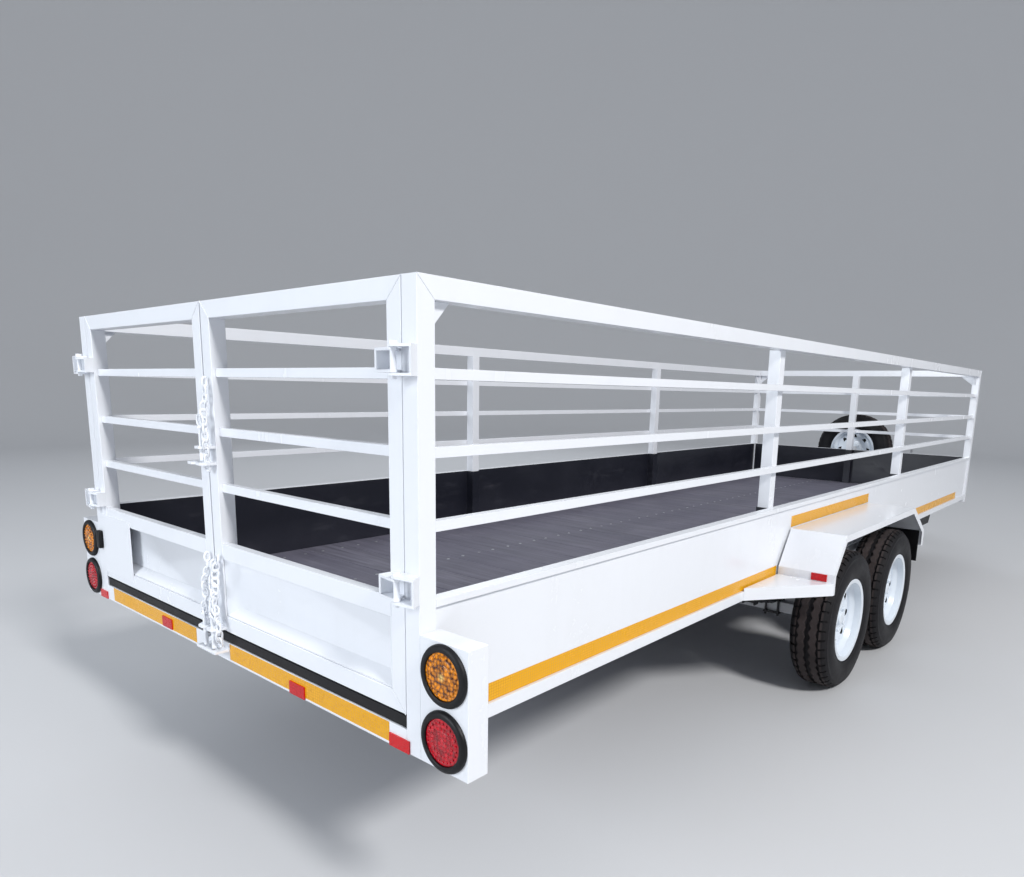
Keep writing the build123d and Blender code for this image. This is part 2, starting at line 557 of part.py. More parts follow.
BALL_X = NOSE_X - 42.0
BALL_R = 25.1
COUPLER_Z0 = 448.0
LEVER_X = NOSE_X - 110.0
LEVER_Z = 532.0
with BuildPart() as coupler_body:
    slab(BEAM_X1, BEAM_X1 + 8, -66.0, 66.0, COUPLER_Z0, SILL_Z + 4)
    nose = [(BEAM_X1 + 8, -60.0), (BEAM_X1 + 60, -36.0), (NOSE_X - 30, -36.0), (NOSE_X - 8, -26.0), (NOSE_X, -10.0)]
    nose += [(px, -py) for px, py in reversed(nose)]
    plate_xy(nose, COUPLER_Z0, 512.0)
    cyl_z(BALL_X, 0, COUPLER_Z0 - 1, 490.0, BALL_R, Mode.SUBTRACT)
    for s in (-1, 1):
        ear = [(LEVER_X - 22, 510.0), (LEVER_X + 22, 510.0), (LEVER_X + 12, LEVER_Z + 12), (LEVER_X - 12, LEVER_Z + 12)]
        plate_xz(ear, s * 13.0, s * 19.0)
    cyl_y(LEVER_X, -23.0, 23.0, LEVER_Z, 6.0)
finish(coupler_body, "coupler_body")

with BuildPart() as coupler_lever:
    arm = [(LEVER_X + 14, LEVER_Z - 8), (LEVER_X + 14, LEVER_Z + 10), (LEVER_X - 90, LEVER_Z + 22)]
    arm += [(LEVER_X - 150, LEVER_Z + 40), (LEVER_X - 156, LEVER_Z + 30), (LEVER_X - 90, LEVER_Z + 10)]
    arm += [(LEVER_X - 20, LEVER_Z - 4)]
    plate_xz(arm, -12.0, 12.0)
    cyl_y(LEVER_X, -13.0, 13.0, LEVER_Z, 6.05, Mode.SUBTRACT)
finish(coupler_lever, "coupler_lever")

# Jockey wheel on the drawbar's right beam.
JOCKEY_X = NOSE_X - 470.0
JOCKEY_Y = -250.0
JOCKEY_R = 100.0
LEG_R = 21.0


def beam_edge(x):
    """Distance of a drawbar beam's outer face from the centre line."""
    return (RAIL_Y - 25.3) + (60.0 - RAIL_Y + 25.3) * (x - BEAM_X0) / (BEAM_X1 - BEAM_X0)


with BuildPart() as jockey_tube:
    cyl_z(JOCKEY_X, JOCKEY_Y, 340.0, 760.0, 25.0)
    cyl_z(JOCKEY_X, JOCKEY_Y, 339.0, 752.0, LEG_R + 0.05, Mode.SUBTRACT)
    cyl_z(JOCKEY_X, JOCKEY_Y, 760.0, 792.0, 9.0)
    slab(JOCKEY_X - 7, JOCKEY_X + 7, JOCKEY_Y - 70, JOCKEY_Y + 12, 792.0, 806.0)
    cyl_z(JOCKEY_X, JOCKEY_Y - 62, 806.0, 880.0, 10.0)
    pad = [(JOCKEY_X - 30, JOCKEY_Y + 24), (JOCKEY_X + 30, JOCKEY_Y + 24)]
    pad += [(JOCKEY_X + 30, -beam_edge(JOCKEY_X + 30) - 0.05), (JOCKEY_X - 30, -beam_edge(JOCKEY_X - 30) - 0.05)]
    for z in (456.0, 496.0):
        plate_xy(pad, z, z + 22)
finish(jockey_tube, "jockey_tube")

with BuildPart() as jockey_leg:
    cyl_z(JOCKEY_X, JOCKEY_Y, 214.0, 520.0, LEG_R)
    slab(JOCKEY_X - 24, JOCKEY_X + 24, JOCKEY_Y - 38, JOCKEY_Y + 38, 208.0, 214.0)
    for s in (-1, 1):
        slab(JOCKEY_X - 20, JOCKEY_X + 20, JOCKEY_Y + s * 32, JOCKEY_Y + s * 38, JOCKEY_R - 18, 208.0)
    cyl_y(JOCKEY_X, JOCKEY_Y - 44, JOCKEY_Y + 44, JOCKEY_R, 8.0)
finish(jockey_leg, "jockey_leg")

with BuildPart() as jockey_wheel:
    cyl_y(JOCKEY_X, JOCKEY_Y - 27, JOCKEY_Y + 27, JOCKEY_R, JOCKEY_R)
    cyl_y(JOCKEY_X, JOCKEY_Y - 28, JOCKEY_Y + 28, JOCKEY_R, 8.05, Mode.SUBTRACT)
finish(jockey_wheel, "jockey_wheel")

# Gates: mitred tube frames, three bars, a middle rail and a dished panel.
HINGE_IN = 45.0
HINGE_X = -28.0
HINGE_Z = (1406.0, 905.0)
PIN_R = 7.0
GATE_IN = TUBE + 2.0
GATE_MID = 3.0
GATE_Z0 = 594.0
MID_Z0 = 824.0
MID_Z1 = 872.0
PAN_DEPTH = 32.0
HI = HW - GATE_IN
for side_name, s in SIDES:
    lo = s * GATE_MID
    hi = s * HI
    lo_in = s * (GATE_MID + TUBE)
    hi_in = s * (HI - TUBE)
    g = WELD_GAP
    with BuildPart() as gate_frame:
        hollow_yz([(lo, TOP_Z), (hi, TOP_Z), (hi_in, TOP_Z - TUBE), (lo_in, TOP_Z - TUBE)], 0.0, TUBE)
        hollow_yz([(lo, GATE_Z0), (hi, GATE_Z0), (hi_in, GATE_Z0 + TUBE), (lo_in, GATE_Z0 + TUBE)], 0.0, TUBE)
        for edge, face, d in ((lo, lo_in, s), (hi, hi_in, -s)):
            stile = [(edge, TOP_Z - g * 1.5), (face, TOP_Z - TUBE - g * 1.5)]
            stile += [(face, GATE_Z0 + TUBE + g * 1.5), (edge, GATE_Z0 + g * 1.5)]
            hollow_yz(stile, 0.0, TUBE)
    finish(gate_frame, "gate_frame_" + side_name)
    with BuildPart() as gate_bars:
        for z in RAIL_Z:
            tube("y", INSET, INSET + RAIL, lo_in, hi_in, z - RAIL / 2, z + RAIL / 2, 2.0)
        tube("y", 0.5, 28.0, lo_in, hi_in, MID_Z0, MID_Z1, 2.0)
    finish(gate_bars, "gate_bars_" + side_name)
    ya = min(lo_in, hi_in) + g
    yb = max(lo_in, hi_in) - g
    za = GATE_Z0 + TUBE + g
    zb = MID_Z0 - g
    with BuildPart() as gate_panel:
        for shift, mode in ((0.0, Mode.ADD), (-SHEET, Mode.SUBTRACT)):
            with BuildSketch(Plane(origin=(X0 + 4 + shift, 0, 0), x_dir=(0, 1, 0), z_dir=(1, 0, 0))) as mouth:
                with Locations(((ya + yb) / 2, (za + zb) / 2)):
                    Rectangle(yb - ya + shift, zb - za + shift)
            with BuildSketch(Plane(origin=(X0 + 4 + PAN_DEPTH + shift, 0, 0), x_dir=(0, 1, 0), z_dir=(1, 0, 0))) as bed:
                with Locations(((ya + yb) / 2, (za + zb) / 2 + 6)):
                    Rectangle(yb - ya - 90 + shift, zb - za - 44 + shift)
            loft([mouth.sketch, bed.sketch], mode=mode)
    finish(gate_panel, "gate_panel_" + side_name)

with BuildPart() as plate_holder:
    slab(-SHEET, 0.0, HI - 265.0, HI - 4.0, GATE_Z0 + 22, MID_Z0 + 20)
finish(plate_holder, "plate_holder")

WEB = 61.0
with BuildPart() as hinge_brackets:
    for name, s in SIDES:
        pin_y = s * (HW - HINGE_IN)
        for zc in HINGE_Z:
            leg = [(0.0, pin_y - s * 4), (HINGE_X, pin_y - s * 11), (HINGE_X - 11, pin_y - s * 5), (HINGE_X - 11, pin_y + s * 5)]
            leg += [(HINGE_X - 2, pin_y + s * WEB), (0.0, pin_y + s * 44.5)]
            for z0 in (zc - 33, zc + 27):
                plate_xy(leg, z0, z0 + 6)
            web = [(HINGE_X - 2, pin_y + s * WEB), (0.0, pin_y + s * 44.5), (0.0, pin_y + s * 38), (HINGE_X - 2, pin_y + s * 54)]
            plate_xy(web, zc - 33, zc + 33)
            cyl_z(HINGE_X, pin_y, zc - 40, zc + 36, PIN_R)
            cyl_z(HINGE_X, pin_y, zc + 33, zc + 40, PIN_R + 3)
finish(hinge_brackets, "hinge_brackets")


def loop_plate(y_low, y_high, y_pin, z0, z1):
    """A flat lug on a gate's rear face, with a hole for a drop pin."""
    shape = [(0.0, y_low), (-30.0, y_low), (-46.0, y_pin - 12), (-46.0, y_pin + 12), (-30.0, y_high), (0.0, y_high)]
    plate_xy(shape, z0, z1)
    cyl_z(LATCH_X, y_pin, z0 - 1, z1 + 1, LATCH_R + 0.09, Mode.SUBTRACT)


for side_name, s in SIDES:
    pin_y = s * (HW - HINGE_IN)
    with BuildPart() as gate_fittings:
        for zc in HINGE_Z:
            leg = [(0.0, pin_y - s * 58), (HINGE_X - 2, pin_y - s * WEB), (HINGE_X - 11, pin_y - s * 5)]
            leg += [(HINGE_X - 11, pin_y + s * 4), (HINGE_X, pin_y + s * 10), (-0.3, pin_y - s * 9)]
            for z0 in (zc - 26, zc + 20):
                plate_xy(leg, z0, z0 + 6)
            web = [(0.0, pin_y - s * 58), (HINGE_X - 2, pin_y - s * WEB), (HINGE_X - 2, pin_y - s * 54), (0.0, pin_y - s * 48)]
            plate_xy(web, zc - 26, zc + 26)
            cyl_z(HINGE_X, pin_y, zc - 27, zc + 27, PIN_R + 0.05, Mode.SUBTRACT)
        if s < 0:
            loop_plate(-50.0, -5.0, LATCH_Y, 1160.0, 1168.0)
            loop_plate(-50.0, -5.0, LATCH_Y, 1111.0, 1119.0)
        else:
            loop_plate(5.0, 50.0, -LATCH_Y, 1111.0, 1119.0)
        loop_plate(min(s * 5, s * 50), max(s * 5, s * 50), s * 26.0, 600.0, 608.0)
    finish(gate_fittings, "gate_fittings_" + side_name)


def drop_pin(y, tip, z_head):
    """A pin with a ring through its head."""
    cyl_z(LATCH_X, y, tip, z_head + 6, LATCH_R)
    cyl_z(LATCH_X, y, z_head, z_head + 6, LATCH_R + 4)
    with Locations(Location((X0 + LATCH_X, y, z_head + 24), (0, 90, 0))):
        Torus(19.0, 3.2)


for pin_name, y, tip, head in (
    ("latch_pin_upper", LATCH_Y, 1125.0, 1219.0),
    ("latch_pin_right", -26.0, KEEP_Z + 12, 642.0),
    ("latch_pin_left", 26.0, KEEP_Z + 12, 642.0),
):
    with BuildPart() as latch_pin:
        drop_pin(y, tip, head)
    finish(latch_pin, pin_name)

LINK_R = 11.0
LINK_W = 2.6
LINK_PITCH = 16.4


def chain(y, z_top, count, drift):
    """Round links, each turned a quarter from the last, hung from a staple on the gate."""
    for i in range(count):
        tilt = (90, 0, 0) if i % 2 == 0 else (0, 90, 0)
        spot = (X0 - 13.8, y + drift * i, z_top - i * LINK_PITCH)
        with Locations(Location(spot, tilt)):
            Torus(LINK_R, LINK_W)
    slab(-4.0, 0.0, y - 5, y + 5, z_top + 3.0, z_top + 24.0)
    cyl_x(-13.8, 0.0, y, z_top + 5.0, 3.0)


with BuildPart() as chain_right:
    chain(-38.0, 1340.0, 5, 1.2)
    chain(-44.0, 812.0, 8, -0.8)
finish(chain_right, "chain_right")

with BuildPart() as chain_left:
    chain(14.0, 812.0, 8, 1.0)
finish(chain_left, "chain_left")
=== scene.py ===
"""Looks of a tandem-axle livestock trailer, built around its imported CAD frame."""

import json
import math

import bmesh
import bpy
from mathutils import Matrix, Vector


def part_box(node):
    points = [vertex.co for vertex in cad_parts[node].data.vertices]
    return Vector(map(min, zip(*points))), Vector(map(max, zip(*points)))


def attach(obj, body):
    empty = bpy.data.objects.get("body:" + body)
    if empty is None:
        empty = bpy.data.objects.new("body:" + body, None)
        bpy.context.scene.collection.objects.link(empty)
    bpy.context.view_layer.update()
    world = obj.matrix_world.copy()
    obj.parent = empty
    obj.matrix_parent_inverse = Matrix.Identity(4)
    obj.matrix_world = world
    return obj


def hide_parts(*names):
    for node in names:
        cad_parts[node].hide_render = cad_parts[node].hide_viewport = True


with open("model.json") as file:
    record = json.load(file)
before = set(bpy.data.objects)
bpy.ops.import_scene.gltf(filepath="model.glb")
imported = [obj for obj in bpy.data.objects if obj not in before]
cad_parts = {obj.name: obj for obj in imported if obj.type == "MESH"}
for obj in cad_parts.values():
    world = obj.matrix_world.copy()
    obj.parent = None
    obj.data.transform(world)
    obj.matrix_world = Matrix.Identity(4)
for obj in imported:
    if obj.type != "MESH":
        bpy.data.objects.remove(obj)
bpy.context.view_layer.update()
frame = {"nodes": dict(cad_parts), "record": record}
nodes = frame["nodes"]
record = frame["record"]
body_of = {node: body for body, held in record["behaviour"]["bodies"].items() for node in held}
slot_of = {part["node"]: part["material_slot"] for part in record["subparts"]}
MM = 0.001
UP = Vector((0, 0, 1))


# Materials -------------------------------------------------------------------------------------

class Level:
    """A value that varies over a surface. Arithmetic on it adds Math nodes."""

    def __init__(self, finish, socket):
        self.finish = finish
        self.socket = socket

    def _math(self, operation, a, b):
        made = self.finish.node("ShaderNodeMath", {"operation": operation}, {0: a, 1: b})
        return Level(self.finish, made.outputs[0])

    def __add__(self, other):
        return self._math("ADD", self, other)

    def __radd__(self, other):
        return self._math("ADD", other, self)

    def __sub__(self, other):
        return self._math("SUBTRACT", self, other)

    def __rsub__(self, other):
        return self._math("SUBTRACT", other, self)

    def __mul__(self, other):
        return self._math("MULTIPLY", self, other)

    def call(self, operation, other=0.0):
        return self._math(operation, self, other)

    def ramp(self, low, high):
        """0 below low, 1 above high, straight between them."""
        made = self.finish.node("ShaderNodeMapRange", {"clamp": True}, {0: self, 1: low, 2: high})
        return Level(self.finish, made.outputs[0])


class Finish:
    """A procedural material around one Principled shader."""

    def __init__(self, name, **fixed):
        self.material = bpy.data.materials.new(name)
        self.material.use_nodes = True
        self.tree = self.material.node_tree
        self.shader = self.tree.nodes["Principled BSDF"]
        self.place = self.node("ShaderNodeTexCoord").outputs["Object"]
        for socket, value in fixed.items():
            self.shader.inputs[socket.replace("_", " ")].default_value = value

    def node(self, kind, settings=None, sockets=None):
        made = self.tree.nodes.new(kind)
        for key, value in (settings or {}).items():
            setattr(made, key, value)
        for key, value in (sockets or {}).items():
            target = made.inputs[key]
            if isinstance(value, Level):
                value = value.socket
            if isinstance(value, bpy.types.NodeSocket):
                self.tree.links.new(value, target)
            else:
                target.default_value = value
        return made

    def axis(self, letter, source=None):
        split = self.node("ShaderNodeSeparateXYZ", None, {0: source or self.place})
        return Level(self, split.outputs[letter])

    def stretched(self, x, y, z):
        """Object coordinates scaled along each axis."""
        made = self.node("ShaderNodeVectorMath", {"operation": "MULTIPLY"}, {0: self.place, 1: (x, y, z)})
        return made.outputs[0]

    def noise(self, scale, detail=3.0, rough=0.55, source=None):
        made = self.node("ShaderNodeTexNoise", None, {
            "Vector": source or self.place, "Scale": scale, "Detail": detail, "Roughness": rough})
        return Level(self, made.outputs[0])

    def cells(self, scale, feature="DISTANCE_TO_EDGE", source=None, random=1.0):
        made = self.node("ShaderNodeTexVoronoi", {"feature": feature}, {
            "Vector": source or self.place, "Scale": scale, "Randomness": random})
        return Level(self, made.outputs[0])

    def blend(self, amount, a, b):
        """Colour a where amount is 0, colour b where it is 1."""
        made = self.node("ShaderNodeMix", {"data_type": "RGBA"}, {0: amount, 6: rgba(a), 7: rgba(b)})
        return made.outputs[2]

    def set(self, socket, value):
        target = self.shader.inputs[socket]
        if isinstance(value, Level):
            value = value.socket
        self.tree.links.new(value, target)

    def bump(self, height, distance, strength=1.0):
        made = self.node("ShaderNodeBump", None, {
            "Height": height, "Distance": distance, "Strength": strength})
        self.set("Normal", made.outputs[0])


def rgba(value):
    """A colour given as three 0-255 screen levels, as linear RGBA. A socket stays a socket."""
    if isinstance(value, bpy.types.NodeSocket):
        return value
    levels = [v / 255.0 for v in value]
    return tuple(v / 12.92 if v <= 0.04045 else ((v + 0.055) / 1.055) ** 2.4 for v in levels) + (1.0,)


def sprayed_paint(name, clean, dusty, soil, coat=0.35, rough=0.26):
    """Gloss paint on steel: orange peel, faint run marks and road dust that thickens low down."""
    f = Finish(name, Coat_Roughness=0.12, Specular_IOR_Level=0.5)
    streaks = f.noise(1.0, 4.0, 0.6, f.stretched(9.0, 9.0, 1.4)).ramp(0.48, 0.78)
    cloudy = f.noise(2.6, 5.0, 0.62).ramp(0.42, 0.72)
    low = 1.0 - f.axis("Z").ramp(0.42, 0.98)
    grime = f.noise(34.0, 4.0, 0.7).ramp(0.5, 0.72)
    dust = (streaks * 0.07 + cloudy * 0.05 + low * grime * 0.05).call("MINIMUM", 1.0)
    base = f.blend(dust, clean, dusty)
    speck = f.noise(210.0, 2.0).ramp(0.71, 0.77) * (0.03 + low * 0.16)
    f.set("Base Color", f.blend(speck, base, soil))
    f.set("Roughness", rough + dust * 0.22 + speck * 0.12)
    f.shader.inputs["Coat Weight"].default_value = coat
    peel = f.noise(420.0, 2.0)
    f.bump(peel * 0.6 + speck * 0.4, 0.0003, 0.25)
    return f.material


def worn_steel(name, light, dark, metallic, rough):
    """Zinc-plated or brushed steel with dull patches and fine scratches."""
    f = Finish(name)
    patches = f.noise(48.0, 4.0, 0.6).ramp(0.38, 0.66)
    spangle = f.cells(150.0, "F1").ramp(0.0, 0.9)
    scratch = f.noise(30.0, 2.0, 0.5, f.stretched(1.0, 14.0, 14.0)).ramp(0.55, 0.7)
    f.set("Base Color", f.blend(patches * 0.7 + spangle * 0.3, light, dark))
    f.set("Roughness", rough + patches * 0.2 - scratch * 0.1)
    f.shader.inputs["Metallic"].default_value = metallic
    f.bump(scratch * 0.4 + spangle * 0.2, 0.0003, 0.4)
    return f.material


def moulded_rubber(name, clean, dusty, rough=0.62):
    """Moulded rubber: a fine grain under uneven dust."""
    f = Finish(name, Specular_IOR_Level=0.3)
    dust = f.noise(7.0, 5.0, 0.65).ramp(0.42, 0.74)
    fine = f.noise(90.0, 3.0, 0.6).ramp(0.44, 0.7)
    f.set("Base Color", f.blend(dust * 0.55 + fine * 0.25, clean, dusty))
    f.set("Roughness", rough + dust * 0.16 + fine * 0.08)
    f.bump(f.noise(520.0, 2.0) * 0.7 + fine * 0.3, 0.0005, 0.5)
    return f.material


def tyre_rubber(name):
    """Tyre rubber: dusty tread, cleaner sidewall with fine moulded rings.

    The attribute "radius" holds each vertex's distance from the wheel's axis. The tread grooves carry
    painted shade, and the raised lands carry a painted highlight mixed with dust.
    """
    f = Finish(name, Specular_IOR_Level=0.3)
    radius = Level(f, f.node("ShaderNodeAttribute", {"attribute_name": "radius"}).outputs["Fac"])
    tread = radius.ramp(0.300, 0.318)
    dust = f.noise(11.0, 5.0, 0.66).ramp(0.40, 0.72)
    fine = f.noise(120.0, 3.0, 0.6).ramp(0.42, 0.7)
    cover = (dust * 0.5 + fine * 0.3) * (0.35 + tread * 0.65)
    side = f.blend(cover, (11, 10, 15), (46, 42, 44))
    # Painted light on the tread: the whole tread darkens towards near black as painted shade in the grooves,
    # and the raised lands turn lighter with dust and a painted highlight.
    land_dust_and_highlight = radius.ramp(0.3195, 0.3236)
    groove_shade = f.blend(tread * 0.6, side, (12, 11, 15))
    f.set("Base Color", f.blend(land_dust_and_highlight * (0.45 + dust * 0.4), groove_shade, (74, 65, 64)))
    f.set("Roughness", 0.52 + tread * 0.18 + dust * 0.14)
    rings = (radius * 2600.0).call("SINE") * (1.0 - tread) * (radius.ramp(0.255, 0.262)) * 0.5
    f.bump(rings * 0.4 + f.noise(480.0, 2.0) * 0.6, 0.0005, 0.5)
    return f.material


def lining_sheet(name):
    """Black coated lining board with a fine pressed texture, hoof scuffs and dust."""
    f = Finish(name, Specular_IOR_Level=0.45)
    scuffs = f.noise(6.0, 6.0, 0.7, f.stretched(1.0, 1.0, 3.2)).ramp(0.55, 0.72)
    dust = f.noise(3.0, 4.0, 0.6).ramp(0.45, 0.75)
    low = 1.0 - f.axis("Z").ramp(0.57, 0.72)
    f.set("Base Color", f.blend(scuffs * 0.12 + dust * 0.08 + low * 0.16, (20, 22, 33), (84, 84, 96)))
    f.set("Roughness", 0.42 + scuffs * 0.25 + dust * 0.1)
    pressed = f.cells(260.0, "F1", random=0.2)
    f.bump(pressed * 0.5 + scuffs * 0.4, 0.0006, 0.5)
    return f.material


def floor_board(name, start, pitch):
    """Dark stained boards laid across the trailer: long grain, a tint of its own per board, scuffs."""
    f = Finish(name, Specular_IOR_Level=0.35)
    board = ((f.axis("X") - start) * (1.0 / pitch)).call("FLOOR")
    tint = f.node("ShaderNodeTexWhiteNoise", {"noise_dimensions": "1D"}, {"W": board})
    tint = Level(f, tint.outputs["Value"])
    shift = f.node("ShaderNodeCombineXYZ", None, {1: board * 3.7})
    moved = f.node("ShaderNodeVectorMath", {"operation": "ADD"}, {
        0: f.stretched(46.0, 2.2, 46.0), 1: shift.outputs[0]}).outputs[0]
    grain = f.noise(1.0, 6.0, 0.68, moved)
    lines = (f.noise(1.6, 2.0, 0.5, moved) * 28.0).call("SINE").ramp(-0.4, 1.0)
    scuff = f.noise(5.0, 5.0, 0.7).ramp(0.52, 0.74)
    wood = f.blend(grain.ramp(0.3, 0.7), (84, 83, 96), (126, 124, 138))
    toned = f.blend(tint * 0.5, wood, (98, 96, 112))
    f.set("Base Color", f.blend(scuff * 0.22, toned, (150, 148, 156)))
    f.set("Roughness", 0.55 + grain * 0.2 + scuff * 0.1)
    f.bump(lines * 0.35 + grain * 0.65, 0.0012, 0.55)
    return f.material


def lens_plastic(name, edge, centre, dark, glow):
    """Clear coloured lens: fluted inside, lighter where the attribute "middle" is high."""
    f = Finish(name, Coat_Roughness=0.04, Specular_IOR_Level=0.35, Coat_Weight=0.3)
    middle = Level(f, f.node("ShaderNodeAttribute", {"attribute_name": "middle"}).outputs["Fac"])
    flutes = f.cells(95.0, "F1", random=0.55).ramp(0.25, 0.75)
    colour = f.blend(middle, edge, centre)
    deep = f.blend(flutes, colour, dark)
    f.set("Base Color", deep)
    f.set("Emission Color", deep)
    f.shader.inputs["Emission Strength"].default_value = glow
    f.set("Roughness", 0.16 + flutes * 0.1)
    f.bump(1.0 - flutes, 0.0008, 0.5)
    return f.material


def marker_film(name, light, dark, cell):
    """Reflective film: a fine grid of six-sided cells under a smooth face."""
    f = Finish(name, Coat_Roughness=0.08, Specular_IOR_Level=0.35, Coat_Weight=0.15)
    grid = f.cells(1.0 / cell, source=f.stretched(1.0, 1.0, 1.155), random=0.12).ramp(0.02, 0.12)
    fine = f.cells(5.0 / cell, "F1", random=0.0)
    worn = f.noise(5.0, 5.0, 0.6).ramp(0.5, 0.8)
    face = f.blend(fine.ramp(0.1, 0.8) * 0.35, light, dark)
    seam = f.blend(1.0 - grid, face, dark)
    f.set("Base Color", f.blend(worn * 0.10, seam, dark))
    f.set("Roughness", 0.24 + worn * 0.25 + (1.0 - grid) * 0.1)
    f.bump(grid * 0.6 + fine * 0.2, 0.0003, 0.5)
    return f.material


deck_low, deck_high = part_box("floor_planks")
BOARDS = 29
BOARD_GAP = 4.0 * MM
board_pitch = (deck_high[0] - deck_low[0] + BOARD_GAP) / BOARDS

finishes = {
    "white_paint": sprayed_paint("white_paint", (236, 239, 245), (198, 198, 196), (140, 132, 122)),
    "chassis_paint": sprayed_paint(
        "chassis_paint", (206, 208, 212), (150, 147, 144), (96, 90, 84), 0.15, 0.4),
    "rim_paint": sprayed_paint("rim_paint", (226, 234, 243), (190, 193, 196), (120, 112, 104), 0.4, 0.24),
    "black_steel": sprayed_paint("black_steel", (34, 34, 38), (74, 70, 68), (104, 96, 88), 0.1, 0.42),
    "black_liner": lining_sheet("black_liner"),
    "floor_board": floor_board("floor_board", deck_low[0], board_pitch),
    "tyre_rubber": tyre_rubber("tyre_rubber"),
    "black_rubber": moulded_rubber("black_rubber", (7, 7, 11), (26, 26, 30), 0.42),
    "amber_lens": lens_plastic("amber_lens", (222, 134, 8), (255, 236, 150), (66, 28, 2), 0.28),
    "red_lens": lens_plastic("red_lens", (190, 0, 28), (214, 12, 40), (120, 0, 16), 0.2),
    "red_reflector": marker_film("red_reflector", (222, 0, 18), (176, 0, 12), 0.006),
    "tape_yellow": marker_film("tape_yellow", (242, 178, 0), (208, 142, 0), 0.009),
    "zinc": worn_steel("zinc", (206, 208, 212), (142, 144, 148), 0.85, 0.3),
    # Near-black finish for the floors of the rim's sunk vents: painted shade standing in for the dark seen
    # through the holes.
    "vent_shade": moulded_rubber("vent_shade", (12, 12, 14), (34, 33, 34)),
}


# Shaping helpers -------------------------------------------------------------------------------

def settle(name, bm, slots, body, replaced=(), sharp=32.0, recalc=True, bevel=0.0):
    """Turns a finished bmesh into a piece that rides on a body."""
    if recalc:
        bmesh.ops.remove_doubles(bm, verts=bm.verts, dist=0.02 * MM)
        bmesh.ops.recalc_face_normals(bm, faces=bm.faces)
    mesh = bpy.data.meshes.new(name)
    bm.to_mesh(mesh)
    bm.free()
    for material in slots:
        mesh.materials.append(finishes[material])
    mesh.polygons.foreach_set("use_smooth", [True] * len(mesh.polygons))
    mesh.set_sharp_from_angle(angle=math.radians(sharp))
    piece = bpy.data.objects.new(name, mesh)
    bpy.context.collection.objects.link(piece)
    if bevel:
        soften(piece, bevel)
    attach(piece, body)
    if replaced:
        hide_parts(*replaced)


def soften(piece, width):
    edge = piece.modifiers.new("rounded_edges", "BEVEL")
    edge.width = width
    edge.segments = 2
    edge.limit_method = "ANGLE"
    edge.angle_limit = math.radians(38)
    edge.use_clamp_overlap = True
    edge.harden_normals = True


def copied(node):
    """A CAD node's own shape as one merged shell with flat faces joined up."""
    bm = bmesh.new()
    bm.from_mesh(nodes[node].data)
    bmesh.ops.remove_doubles(bm, verts=bm.verts, dist=0.01 * MM)
    bmesh.ops.dissolve_degenerate(bm, edges=bm.edges, dist=0.005 * MM)
    bmesh.ops.dissolve_limit(bm, angle_limit=math.radians(0.6), verts=bm.verts, edges=bm.edges)
    return bm


def centre(node):
    low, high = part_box(node)
    return (Vector(low) + Vector(high)) / 2


def edges_of(verts):
    """Every edge that touches these vertices, in a settled order."""
    return list(dict.fromkeys(e for v in verts for e in v.link_edges))


def around(point, cent, axis):
    """How far along an axis through cent a point lies, and its arm square to that axis."""
    arm = point - cent
    along = arm.dot(axis)
    return along, arm - axis * along


def ring_of(bm, profile, inward, cent, axis, steps, closed=False):
    """Spins (radius, depth) pairs about a level axis. Depth runs from cent along inward."""
    verts = [bm.verts.new(Vector(cent) + UP * r + Vector(inward) * d) for r, d in profile]
    edges = [bm.edges.new(pair) for pair in zip(verts, verts[1:])]
    if closed:
        edges.append(bm.edges.new((verts[-1], verts[0])))
    bmesh.ops.spin(
        bm, geom=verts + edges, cent=cent, axis=axis, angle=2 * math.pi, steps=steps,
        use_merge=True)


WELD_RIPPLE = 3.4 * MM


def weld_bead(bm, a, b, rise=1.3 * MM):
    """A rippled fillet of weld from a to b: a low tube whose rings swell and shrink."""
    a = Vector(a)
    b = Vector(b)
    run = b - a
    turn = run.to_track_quat("Z", "Y").to_matrix().to_4x4()
    count = max(4, int(run.length / WELD_RIPPLE))
    made = bmesh.ops.create_circle(
        bm, cap_ends=False, segments=6, radius=1.0,
        matrix=Matrix.Translation(a) @ turn @ Matrix.Scale(rise, 4))
    loop = edges_of(made["verts"])
    for k in range(1, count + 1):
        pushed = bmesh.ops.extrude_edge_only(bm, edges=loop)
        ring = [v for v in pushed["geom"] if isinstance(v, bmesh.types.BMVert)]
        loop = [e for e in pushed["geom"] if isinstance(e, bmesh.types.BMEdge)]
        at = a + run * (k / count)
        mid = sum((v.co for v in ring), Vector()) / len(ring)
        size = (1.0 if k % 2 else 1.35) * (0.5 if k == count else 1.0)
        now = sum(((v.co - mid).length for v in ring), 0.0) / len(ring)
        for v in ring:
            v.co = at + (v.co - mid) * (size * rise / now)
    bmesh.ops.contextual_create(bm, geom=loop)


# Steel work: the CAD shapes with softened edges and real finishes --------------------------------

